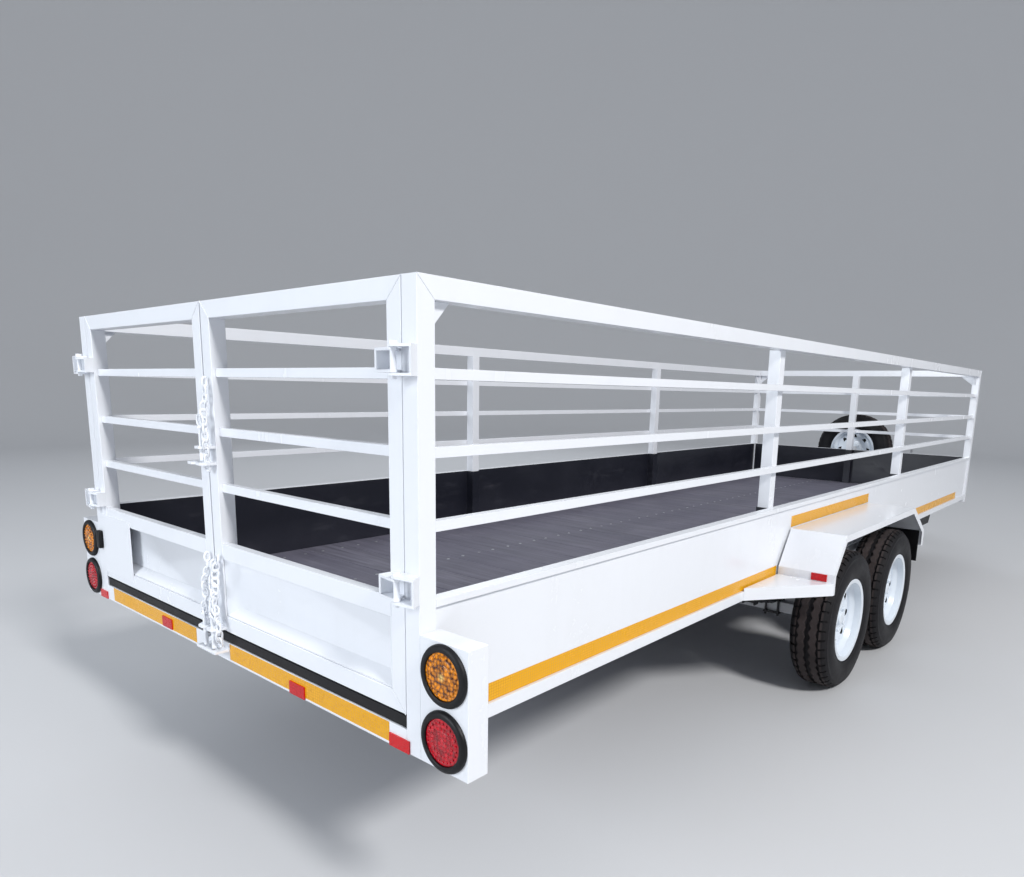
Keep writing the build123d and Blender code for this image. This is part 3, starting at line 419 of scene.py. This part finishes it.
# Each node's own shape, with the width of its rounded edges in millimetres
SOFTENED = {
    "top_rails": 2.2, "corner_posts": 2.2, "side_posts": 2.2, "body_rails": 1.6, "cap_rails": 1.2,
    "side_sills": 1.6, "side_walls": 0.8, "front_wall": 0.8, "gusset_plates": 1.2, "rear_sill": 1.6,
    "lamp_boxes": 1.6, "fenders": 1.0, "hinge_brackets": 1.2, "plate_holder": 0.8,
    "gate_frame_left": 2.2, "gate_frame_right": 2.2, "gate_bars_left": 1.6, "gate_bars_right": 1.6,
    "gate_panel_left": 1.4, "gate_panel_right": 1.4, "gate_fittings_left": 1.0, "gate_fittings_right": 1.0,
    "main_rails": 2.0, "cross_members": 2.0, "drawbar_beams": 2.4, "spare_carrier": 1.6, "coupler_body": 2.0,
    "coupler_lever": 1.4, "jockey_tube": 1.0, "jockey_leg": 1.0, "axles": 2.0, "leaf_springs": 1.0,
    "spring_hangers": 1.0, "rockers": 1.4, "wall_liners": 1.0, "floor_planks": 2.2, "sill_strip": 3.0,
    "mudflaps": 1.2, "u_bolts": 0.8,
}
for node, width in SOFTENED.items():
    settle(
        node + "_made", copied(node), [slot_of[node]], body_of[node], [node],
        bevel=width * MM, recalc=False)

# Small pieces that stay as the CAD has them and only take a finish
KEPT = {
    "red_reflectors": "red_reflector", "tape_strips": "tape_yellow",
    "latch_pin_upper": "white_paint", "latch_pin_left": "white_paint",
    "latch_pin_right": "white_paint",
}
for node, material in KEPT.items():
    nodes[node].data.materials.clear()
    nodes[node].data.materials.append(finishes[material])


# Chains: oval links, each turned a quarter from the last, slung down the closing edges ---------------

# The keeper's bars reach this far behind the trailer's rear plane
KEEPER_REACH = 46.0 * MM
rear_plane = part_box("rear_sill")[0][0] + KEEPER_REACH
LINK_LONG = 15.0 * MM
LINK_WIDE = 9.5 * MM
LINK_WIRE = 3.2 * MM
LINK_STEP = 2 * (LINK_LONG - LINK_WIRE) - 0.6 * MM


def slung(points, step):
    """Even steps along a smooth line through the given points, as (place, direction) pairs."""
    route = bpy.data.curves.new("route", "CURVE")
    route.dimensions = "3D"
    line = route.splines.new("NURBS")
    line.points.add(len(points) - 1)
    for spot, (x, y, z) in zip(line.points, points):
        spot.co = (rear_plane + x * MM, y * MM, z * MM, 1.0)
    line.order_u = 3
    line.use_endpoint_u = True
    route.resolution_u = 24
    held = bpy.data.objects.new("route", route)
    path = [v.co.copy() for v in bpy.data.meshes.new_from_object(held).vertices]
    bpy.data.objects.remove(held)
    out = []
    left = 0.0
    for a, b in zip(path, path[1:]):
        run = (b - a).length
        while left <= run and run > 0:
            out.append((a.lerp(b, left / run), (b - a).normalized()))
            left += step
        left -= run
    return out


def hang_chain(bm, points):
    """Links down a slung line. Each starts as a round ring of wire and is drawn out into an oval."""
    upright = Matrix.Rotation(math.pi / 2, 4, "X")
    wire_at = Matrix.Translation((LINK_WIDE, 0, 0)) @ upright
    for k, (spot, along) in enumerate(slung(points, LINK_STEP)):
        turn = along.to_track_quat("Z", "X").to_matrix().to_4x4()
        roll = Matrix.Rotation(math.radians(38 + 90 * (k % 2) + 11 * math.sin(1.7 * k)), 4, "Z")
        wire = bmesh.ops.create_circle(bm, segments=8, radius=LINK_WIRE, matrix=wire_at)["verts"]
        known = set(bm.verts) - set(wire)
        bmesh.ops.spin(
            bm, geom=wire + edges_of(wire), cent=(0, 0, 0), axis=(0, 0, 1),
            angle=2 * math.pi, steps=20, use_merge=True)
        link = [v for v in bm.verts if v not in known]
        for v in link:
            drawn = min(abs(v.co.y), LINK_WIDE) / LINK_WIDE
            v.co.y += math.copysign(drawn, v.co.y) * (LINK_LONG - LINK_WIDE)
        placed = Matrix.Translation(spot) @ turn @ roll @ upright
        bmesh.ops.transform(bm, matrix=placed, verts=link)


# Places each strand runs through: x behind the rear plane, y and z, in millimetres
CHAINS = {
    "right": [
        [(-14, -34, 1352), (-17, -40, 1310), (-20, -26, 1262), (-26, -44, 1226), (-30, -52, 1190),
         (-24, -40, 1150), (-18, -30, 1100)],
        [(-14, -44, 822), (-20, -34, 776), (-24, -50, 730), (-26, -30, 690), (-28, -52, 652),
         (-26, -34, 616), (-20, -44, 566)],
        [(-14, -24, 806), (-24, -22, 750), (-28, -40, 700), (-32, -20, 668), (-24, -54, 630),
         (-30, -60, 596), (-22, -54, 560)],
    ],
    "left": [
        [(-14, 20, 822), (-20, 12, 780), (-26, 28, 738), (-28, 10, 700), (-26, 34, 664),
         (-30, 16, 628), (-22, 40, 590), (-20, 24, 560)],
    ],
}
for side, lines in CHAINS.items():
    bm = bmesh.new()
    for points in lines:
        hang_chain(bm, points)
    node = "chain_" + side
    settle(
        "chain_links_" + side, bm, ["white_paint"], body_of[node], [node],
        sharp=60.0)


# Tyres -----------------------------------------------------------------------------------------

HALF_WIDTH = 92.5  # of the tyre, in millimetres
PITCHES = 46
ZIGZAG = 5.4 * MM
NOTCH = 7.5 * MM
CASING = [(186.0, 150.0), (215.0, 166.0), (255.0, 170.0), (296.0, 158.0), (306.0, 92.5)]
OUTSIDE = [  # radius, and distance in from the outer face
    (178.6, 30.0), (178.6, 18.0), (190.0, 15.8), (196.5, 16.2), (199.0, 11.5), (204.0, 8.4),
    (209.0, 8.0), (213.0, 5.6),
    (226.0, 2.2), (240.0, 0.5), (250.0, 0.0), (262.0, 0.9), (275.0, 3.0), (286.0, 6.4),
    (292.0, 8.2), (295.0, 7.4),
    (299.0, 8.6), (302.0, 12.4), (308.0, 16.0), (314.5, 21.5), (319.5, 28.0), (322.6, 34.5),
    (323.8, 40.0),
    (315.6, 42.6), (315.6, 49.4), (324.2, 52.0), (324.8, 64.0), (325.0, 80.0), (315.0, 83.6),
    (315.0, 88.0),
]


def tyre_profile():
    half = [(r * MM, (t - HALF_WIDTH) * MM) for r, t in OUTSIDE]
    far = [(r, -d) for r, d in reversed(half)]
    inside = [(r * MM, (t - HALF_WIDTH) * MM) for r, t in CASING]
    back = [(r, -d) for r, d in reversed(inside)][1:]
    return half + far + inside + back


def make_tyre(name, node, axis, body):
    """One tread pitch is shaped, then copied round the tyre."""
    bm = bmesh.new()
    cent = centre(node)
    axis = Vector(axis)
    verts = [bm.verts.new(cent + UP * r + axis * d) for r, d in tyre_profile()]
    edges = [bm.edges.new(pair) for pair in zip(verts, verts[1:] + verts[:1])]
    pitch = 2 * math.pi / PITCHES
    last = verts + edges
    faces = []
    for share, steps in ((0.22, 1), (0.28, 1), (0.5, 2)):
        made = bmesh.ops.spin(bm, geom=last, cent=cent, axis=axis, angle=pitch * share, steps=steps)
        last = made["geom_last"]
        if not faces:
            faces = list(bm.faces)
    for v in bm.verts:
        along, flat = around(v.co, cent, axis)
        if flat.length > 316.5 * MM and abs(along) < 52.0 * MM:
            turn = math.atan2(flat.cross(UP).dot(axis), flat.dot(UP)) / pitch
            swing = abs((turn % 1.0) * 2 - 1) * 2 - 1
            v.co += axis * (ZIGZAG * swing)
    shoulders = []
    for f in faces:
        along, flat = around(f.calc_center_median(), cent, axis)
        if flat.length > 305.0 * MM and abs(along) > 51.0 * MM:
            shoulders.append(f)
    cut = bmesh.ops.extrude_face_region(bm, geom=shoulders)
    bmesh.ops.delete(bm, geom=shoulders, context="FACES_ONLY")
    for v in [g for g in cut["geom"] if isinstance(g, bmesh.types.BMVert)]:
        v.co -= around(v.co, cent, axis)[1].normalized() * NOTCH
    bmesh.ops.spin(
        bm, geom=bm.verts[:] + bm.edges[:] + bm.faces[:], cent=cent, axis=axis,
        angle=2 * math.pi - pitch, steps=PITCHES - 1, use_duplicate=True)
    layer = bm.verts.layers.float.new("radius")
    for v in bm.verts:
        v[layer] = around(v.co, cent, axis)[1].length
    settle(name, bm, ["tyre_rubber"], body, [node], sharp=40.0)


WHEELS = [("rear", "left", 1), ("rear", "right", -1), ("front", "left", 1), ("front", "right", -1)]
for end, side, s in WHEELS:
    make_tyre(f"tread_{end}_{side}", f"tyre_{end}_{side}", (0, s, 0), body_of[f"tyre_{end}_{side}"])
make_tyre("tread_spare", "spare_tyre", (-1, 0, 0), body_of["spare_tyre"])


# Rims: a rolled barrel, a dished disc with vents, and a bolted hub --------------------------------

BARREL = [
    (195.0, 14.0), (193.8, 17.0), (191.0, 18.2), (184.0, 17.4), (178.6, 19.0), (177.6, 26.0),
    (177.6, 48.0), (172.0, 56.0),
    (161.0, 68.0), (160.0, 74.0), (160.0, 108.0), (163.0, 114.0), (176.0, 128.0), (177.6, 134.0),
    (177.6, 162.0),
    (184.0, 167.6), (191.0, 166.8), (195.0, 171.0), (190.0, 173.0), (174.2, 172.0),
    (174.0, 133.0), (172.0, 129.0),
    (158.0, 114.0), (156.4, 110.0), (156.4, 70.0), (159.0, 64.0), (170.0, 52.4), (173.8, 46.0),
    (174.0, 20.0),
    (176.0, 14.6), (184.0, 13.0), (191.0, 12.0), (194.4, 12.4),
]
DISC = [
    (33.0, 78.6), (56.0, 78.4), (62.0, 78.9), (69.0, 81.6), (76.0, 83.6), (84.0, 84.0),
    (98.0, 84.0), (112.0, 84.0),
    (143.0, 84.0), (146.0, 84.8), (149.0, 87.6), (151.0, 90.6), (153.0, 92.0), (156.6, 92.2),
    (156.6, 97.8),
    (146.0, 98.0), (130.0, 90.0), (74.0, 90.0), (60.0, 86.0), (33.0, 86.0),
]
CAP = [(0.0, 45.6), (20.0, 45.8), (27.0, 47.0), (30.6, 50.4), (31.6, 56.0), (34.6, 57.4),
       (35.4, 60.0), (35.4, 70.0), (0.0, 70.0)]
DISC_FACE = 70.0 * MM
DISC_SHIFT = DISC_FACE - 84.0 * MM
RIM_STEPS = 96
VENTS = 8
VENT_INNER = 112.0 * MM
VENT_OUTER = 143.0 * MM
VENT_TAPER = 0.62
NUTS = 5
NUT_CIRCLE = 56.0 * MM


def make_rim(name, node, axis, body, hub):
    """Depth is measured inwards from the tyre's outer face."""
    bm = bmesh.new()
    tyre_node = "spare_tyre" if node == "spare_rim" else node.replace("rim", "tyre")
    axis = Vector(axis)
    face = centre(tyre_node) + axis * (HALF_WIDTH * MM)
    inwards = -axis
    side = axis.cross(UP)
    barrel = [(r * MM, d * MM) for r, d in BARREL]
    disc = [(r * MM, d * MM + DISC_SHIFT) for r, d in DISC]
    for profile in (barrel, disc):
        ring_of(bm, profile, inwards, face, axis, RIM_STEPS, closed=True)
    bmesh.ops.remove_doubles(bm, verts=bm.verts, dist=0.02 * MM)
    bmesh.ops.recalc_face_normals(bm, faces=bm.faces)
    windows = {}
    for f in bm.faces:
        along, flat = around(f.calc_center_median(), face, axis)
        if abs(along + DISC_FACE) < 0.6 * MM and VENT_INNER < flat.length < VENT_OUTER:
            turn = math.atan2(flat.dot(side), flat.dot(UP)) / (2 * math.pi / VENTS)
            if abs(turn - round(turn)) < 0.25:
                windows.setdefault(round(turn) % VENTS, []).append(f)
    for group in windows.values():
        bmesh.ops.inset_region(bm, faces=group, thickness=1.6 * MM, use_even_offset=True)
        middle = sum((f.calc_center_median() for f in group), Vector()) / len(group)
        spoke = around(middle, face, axis)[1].normalized()
        across = axis.cross(spoke)
        for v in {v for f in group for v in f.verts}:
            if (v.co - middle).dot(spoke) > 0:
                v.co -= across * (v.co - middle).dot(across) * VENT_TAPER
        pushed = bmesh.ops.extrude_face_region(bm, geom=group)
        bmesh.ops.delete(bm, geom=group, context="FACES_ONLY")
        sunk = [g for g in pushed["geom"] if isinstance(g, bmesh.types.BMVert)]
        bmesh.ops.translate(bm, vec=inwards * 5.4 * MM, verts=sunk)
        # The vents' sunk faces take the near-black second finish, painted shade in place of open holes.
        for f in {f for v in sunk for f in v.link_faces}:
            f.material_index = 1
    if hub:
        ring_of(bm, [(r * MM, d * MM) for r, d in CAP], inwards, face, axis, 32)
    upright = axis.to_track_quat("Z", "Y").to_matrix().to_4x4()
    for k in range(NUTS):
        a = 2 * math.pi * (k + 0.25) / NUTS
        spot = face + (UP * math.cos(a) + side * math.sin(a)) * NUT_CIRCLE
        spot += inwards * (72.0 * MM + DISC_SHIFT)
        nut = bmesh.ops.create_cone(
            bm, cap_ends=True, segments=6, radius1=10.5 * MM, radius2=10.5 * MM,
            depth=15.0 * MM, matrix=Matrix.Translation(spot) @ upright)
        bmesh.ops.bevel(
            bm, geom=edges_of(nut["verts"]), offset=1.4 * MM, segments=1, profile=0.5,
            affect="EDGES", material=-1)
    settle(name, bm, ["rim_paint", "vent_shade"], body, [node], sharp=28.0)


for end, side, s in WHEELS:
    make_rim(f"wheel_disc_{end}_{side}", f"rim_{end}_{side}", (0, s, 0), body_of[f"rim_{end}_{side}"], True)
make_rim("wheel_disc_spare", "spare_rim", (-1, 0, 0), body_of["spare_rim"], False)


# Lamps: thick rubber rings, domed lenses and their bright dots ------------------------------------

LENS = [
    (0.0, -10.8), (12.0, -10.7), (14.0, -11.4), (16.0, -10.6), (27.0, -10.2), (29.0, -10.9),
    (31.0, -10.0),
    (40.0, -9.4), (42.0, -10.0), (44.0, -9.2), (50.0, -8.6), (54.4, -7.4), (55.4, -5.4),
    (55.4, -2.2), (0.0, -2.2),
]
RING = [
    (55.2, -2.0), (55.2, -8.6), (56.0, -11.0), (58.2, -12.4), (61.0, -12.6), (66.0, -11.8),
    (70.4, -9.2), (72.6, -5.4),
    (73.0, -1.0), (72.4, 0.0), (56.6, 0.0), (56.6, 22.0), (54.6, 24.0), (0.0, 24.0), (0.0, -2.0),
]
DOT_RINGS = ((0.0, 1), (9.5, 6), (21.5, 11), (33.5, 17), (46.0, 23))  # radius in mm, dots
LENS_NODES = {"amber_lenses": "amber_lens", "red_lenses": "red_lens"}


def lamp_spots(node):
    """Middles of the two lamps of one colour, on the trailer's rear plane."""
    low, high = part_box(node)
    radius = (high[2] - low[2]) / 2
    z = (high[2] + low[2]) / 2
    return [Vector((rear_plane, y, z)) for y in (low[1] + radius, high[1] - radius)]


for node, material in LENS_NODES.items():
    bm = bmesh.new()
    spots = lamp_spots(node)
    for spot in spots:
        ring_of(bm, [(r * MM, d * MM) for r, d in LENS], (1, 0, 0), spot, (1, 0, 0), 64)
        for ring, count in DOT_RINGS:
            for k in range(count):
                a = 2 * math.pi * k / count
                at = spot + Vector((-10.2 * MM, ring * MM * math.cos(a), ring * MM * math.sin(a)))
                bmesh.ops.create_icosphere(
                    bm, subdivisions=2, radius=2.9 * MM,
                    matrix=Matrix.Translation(at) @ Matrix.Diagonal((0.55, 1, 1, 1)))
    layer = bm.verts.layers.float.new("middle")
    for v in bm.verts:
        away = min((v.co - spot).yz.length for spot in spots)
        dotty = 0.5 if v.co.x < rear_plane - 11.1 * MM and away > 16.0 * MM else 0.0
        v[layer] = max(0.0, min(1.0, 0.9 - away / (14.0 * MM) + dotty))
    settle(
        node + "_domed", bm, [material], body_of[node], [node],
        sharp=24.0)

bm = bmesh.new()
for node in LENS_NODES:
    for spot in lamp_spots(node):
        ring_of(
            bm, [(r * MM, d * MM) for r, d in RING], (1, 0, 0), spot, (1, 0, 0), 72, closed=True)
half_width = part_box("top_rails")[1][1]
# A small black rubber block on the left corner post, beside the lamps
SIDE_BLOCK_SIZE = (16.0 * MM, 30.0 * MM, 70.0 * MM)
side_block_at = (rear_plane - 8.0 * MM, half_width - 29.0 * MM, 0.740)
fitting = bmesh.ops.create_cube(bm, size=1.0)["verts"]
bmesh.ops.scale(bm, vec=SIDE_BLOCK_SIZE, verts=fitting)
bmesh.ops.translate(bm, vec=side_block_at, verts=fitting)
bmesh.ops.bevel(
    bm, geom=edges_of(fitting), offset=4.0 * MM, segments=3, profile=0.5, affect="EDGES",
    material=-1)
settle("lamp_rings", bm, ["black_rubber"], body_of["lamp_bases"], ["lamp_bases"], sharp=30.0)


# Jockey wheel: a solid rubber tyre on a pressed disc ------------------------------------------------

JOCKEY_TYRE = [
    (66.0, 18.0), (74.0, 24.0), (86.0, 27.0), (95.0, 25.0), (99.0, 19.0), (100.0, 10.0),
    (100.0, 3.0), (97.4, 0.0),
]
JOCKEY_DISC = [
    (66.0, 22.0), (62.0, 24.0), (59.0, 18.0), (52.0, 9.0), (30.0, 9.0), (24.0, 14.0),
    (22.0, 27.0), (8.1, 27.0),
]
for name, profile, material in (
        ("jockey_tyre", JOCKEY_TYRE, "black_rubber"), ("jockey_disc", JOCKEY_DISC, "zinc")):
    bm = bmesh.new()
    loop = [(r * MM, d * MM) for r, d in profile]
    loop += [(r, -d) for r, d in reversed(loop) if abs(d) > 0.01 * MM]
    ring_of(bm, loop, (0, 1, 0), centre("jockey_wheel"), (0, 1, 0), 64, closed=True)
    settle(
        name, bm, [material], body_of["jockey_wheel"], ["jockey_wheel"],
        sharp=34.0)


# Welds on the frames --------------------------------------------------------------------------------

TUBE_W = 50.0 * MM
BAR_LEVELS = (1380.0, 1208.0, 1041.0)  # middles of the 25 mm rails, in millimetres
POST_AT = (2.0, 4.0)  # side posts, in metres ahead of the rear plane
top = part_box("top_rails")[1][2]
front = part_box("top_rails")[1][0]


def rail_welds(bm, a, b, z, rise):
    """Beads along the underside and the top of a rail at height z, between two (x, y) places."""
    for level in ((z - 12.5) * MM, (z + 12.5) * MM):
        weld_bead(bm, (*a, level), (*b, level), rise=rise)


def upright_weld(bm, x, y, z, rise):
    """A bead up the face of a rail's end at height z."""
    weld_bead(bm, (x, y, (z - 11) * MM), (x, y, (z + 11) * MM), rise=rise)


for side, s in (("right", -1), ("left", 1)):
    bm = bmesh.new()
    low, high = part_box("gate_frame_" + side)
    lo, hi = sorted((abs(low[1]), abs(high[1])))
    for x in (low[0], high[0]):
        for edge, inner in ((lo, lo + TUBE_W), (hi, hi - TUBE_W)):
            weld_bead(bm, (x, s * edge, top), (x, s * inner, top - TUBE_W))
            weld_bead(bm, (x, s * edge, low[2]), (x, s * inner, low[2] + TUBE_W))
    for y in (s * (lo + TUBE_W), s * (hi - TUBE_W)):
        for z in BAR_LEVELS:
            rail_welds(
                bm, (rear_plane + 14.0 * MM, y), (rear_plane + 36.0 * MM, y), z, 1.1 * MM)
            upright_weld(bm, rear_plane + 12.6 * MM, y, z, 1.1 * MM)
        x = rear_plane + 0.6 * MM
        weld_bead(bm, (x, y, 0.826), (x, y, 0.870), rise=1.2 * MM)
    settle(
        "gate_welds_" + side, bm, ["white_paint"], "gate_" + side,
        sharp=50.0)

bm = bmesh.new()
for s in (-1, 1):
    y = s * half_width
    for x, inner in ((rear_plane, rear_plane + TUBE_W), (front, front - TUBE_W)):
        weld_bead(bm, (x, y, top), (inner, y, top - TUBE_W))
        weld_bead(bm, (x, y - s * TUBE_W, top), (inner, y - s * TUBE_W, top - TUBE_W))
    for x in (rear_plane + TUBE_W, front - TUBE_W):
        for z in BAR_LEVELS:
            rail_welds(bm, (x, y - s * 14.0 * MM), (x, y - s * 36.0 * MM), z, 1.2 * MM)
            upright_weld(bm, x, y - s * 12.8 * MM, z, 1.2 * MM)
    inside = y - s * 36.6 * MM
    for x in (rear_plane + at for at in POST_AT):
        for z in BAR_LEVELS:
            rail_welds(bm, (x - 23 * MM, inside), (x + 23 * MM, inside), z, 1.4 * MM)
settle("body_welds", bm, ["white_paint"], "frame", sharp=50.0)


# Floor screws over the chassis rails ---------------------------------------------------------------

SCREW_INSET = 0.150
SCREW_ENDS = (0.045, board_pitch - 0.049)
bm = bmesh.new()
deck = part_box("floor_planks")[1][2]
screw_y = half_width - SCREW_INSET
for k in range(BOARDS):
    for y in (-screw_y, -screw_y / 3, screw_y / 3, screw_y):
        for dx in SCREW_ENDS:
            at = Matrix.Translation((deck_low[0] + k * board_pitch + dx, y, deck + 0.5 * MM))
            bmesh.ops.create_cone(
                bm, cap_ends=True, segments=12, radius1=8.0 * MM, radius2=5.6 * MM,
                depth=2.6 * MM, matrix=at)
settle("floor_screws", bm, ["zinc"], "frame", sharp=30.0)


# Stage, lights and camera -----------------------------------------------------------------------------

studio = bpy.data.materials.new("studio_sweep")
studio.use_nodes = True
matt = studio.node_tree.nodes["Principled BSDF"].inputs
matt["Base Color"].default_value = (0.62, 0.63, 0.65, 1.0)
matt["Roughness"].default_value = 0.85
FLOOR_R = 15.0
FLOOR_LEVEL = -0.001
CURVE_R = 5.0
CURVE_STEPS = 12
WALL_TOP = 14.0
bm = bmesh.new()
sweep = [(0.0, FLOOR_LEVEL), (FLOOR_R, FLOOR_LEVEL)]
for k in range(1, CURVE_STEPS + 1):
    a = math.pi / 2 * k / CURVE_STEPS
    sweep.append((FLOOR_R + CURVE_R * math.sin(a), FLOOR_LEVEL + CURVE_R * (1 - math.cos(a))))
sweep.append((FLOOR_R + CURVE_R, WALL_TOP))
verts = [bm.verts.new((r, 0, z)) for r, z in sweep]
edges = [bm.edges.new(pair) for pair in zip(verts, verts[1:])]
bmesh.ops.spin(
    bm, geom=verts + edges, cent=(0, 0, 0), axis=(0, 0, 1), angle=2 * math.pi, steps=64,
    use_merge=True)
bmesh.ops.remove_doubles(bm, verts=bm.verts, dist=0.001)
bmesh.ops.recalc_face_normals(bm, faces=bm.faces)
mesh = bpy.data.meshes.new("studio_floor")
bm.to_mesh(mesh)
bm.free()
mesh.materials.append(studio)
mesh.polygons.foreach_set("use_smooth", [True] * len(mesh.polygons))
floor = bpy.data.objects.new("studio_floor", mesh)
bpy.context.collection.objects.link(floor)

world = bpy.data.worlds.new("studio_air")
world.use_nodes = True
air = world.node_tree.nodes["Background"].inputs
air["Color"].default_value = (0.90, 0.94, 1.0, 1.0)
air["Strength"].default_value = 0.45
bpy.context.scene.world = world
bpy.context.scene.view_settings.view_transform = "Standard"


def soft_light(name, place, aim, size, power, colour):
    fitting = bpy.data.lights.new(name, "AREA")
    fitting.shape = "DISK"
    fitting.size = size
    fitting.energy = power
    fitting.color = colour
    held = bpy.data.objects.new(name, fitting)
    held.location = place
    held.rotation_euler = (Vector(aim) - Vector(place)).to_track_quat("-Z", "Y").to_euler()
    bpy.context.collection.objects.link(held)


soft_light("key_light", (-4.6, -10.2, 9.0), (-0.4, 0.0, 0.6), 2.4, 1280.0, (1.0, 0.985, 0.965))
soft_light("rear_fill", (-12.0, 2.0, 4.0), (-2.0, 0.0, 0.8), 5.0, 560.0, (0.90, 0.95, 1.0))
soft_light("far_fill", (7.0, 9.0, 8.0), (0.0, 0.0, 0.8), 6.0, 260.0, (0.90, 0.95, 1.0))

# The camera fitted to the photograph, in pixels, radians and metres
IMAGE_W = 1024
IMAGE_H = 877
SENSOR_W = 36.0
FOCAL_PX = 728.4284
CENTRE_U = 535.8248
CENTRE_V = 527.7986
EYE = (-4.6468, -2.1745, 1.3494)
YAW = math.radians(40.4351)
PITCH = math.radians(-10.695)
ROLL = math.radians(-1.2253)
ahead = Vector((math.cos(PITCH) * math.cos(YAW), math.cos(PITCH) * math.sin(YAW), math.sin(PITCH)))
level = Vector((math.sin(YAW), -math.cos(YAW), 0.0))
down = ahead.cross(level)
right = level * math.cos(ROLL) + down * math.sin(ROLL)
lower = down * math.cos(ROLL) - level * math.sin(ROLL)
view = bpy.data.cameras.new("camera")
view.sensor_fit = "HORIZONTAL"
view.sensor_width = SENSOR_W
view.lens = FOCAL_PX / IMAGE_W * SENSOR_W
view.shift_x = (IMAGE_W / 2 - CENTRE_U) / IMAGE_W
view.shift_y = (CENTRE_V - IMAGE_H / 2) / IMAGE_W
view.clip_end = 200.0
camera = bpy.data.objects.new("camera", view)
turned = Matrix((right, -lower, -ahead)).transposed().to_4x4()
camera.matrix_world = Matrix.Translation(EYE) @ turned
bpy.context.collection.objects.link(camera)
bpy.context.scene.camera = camera
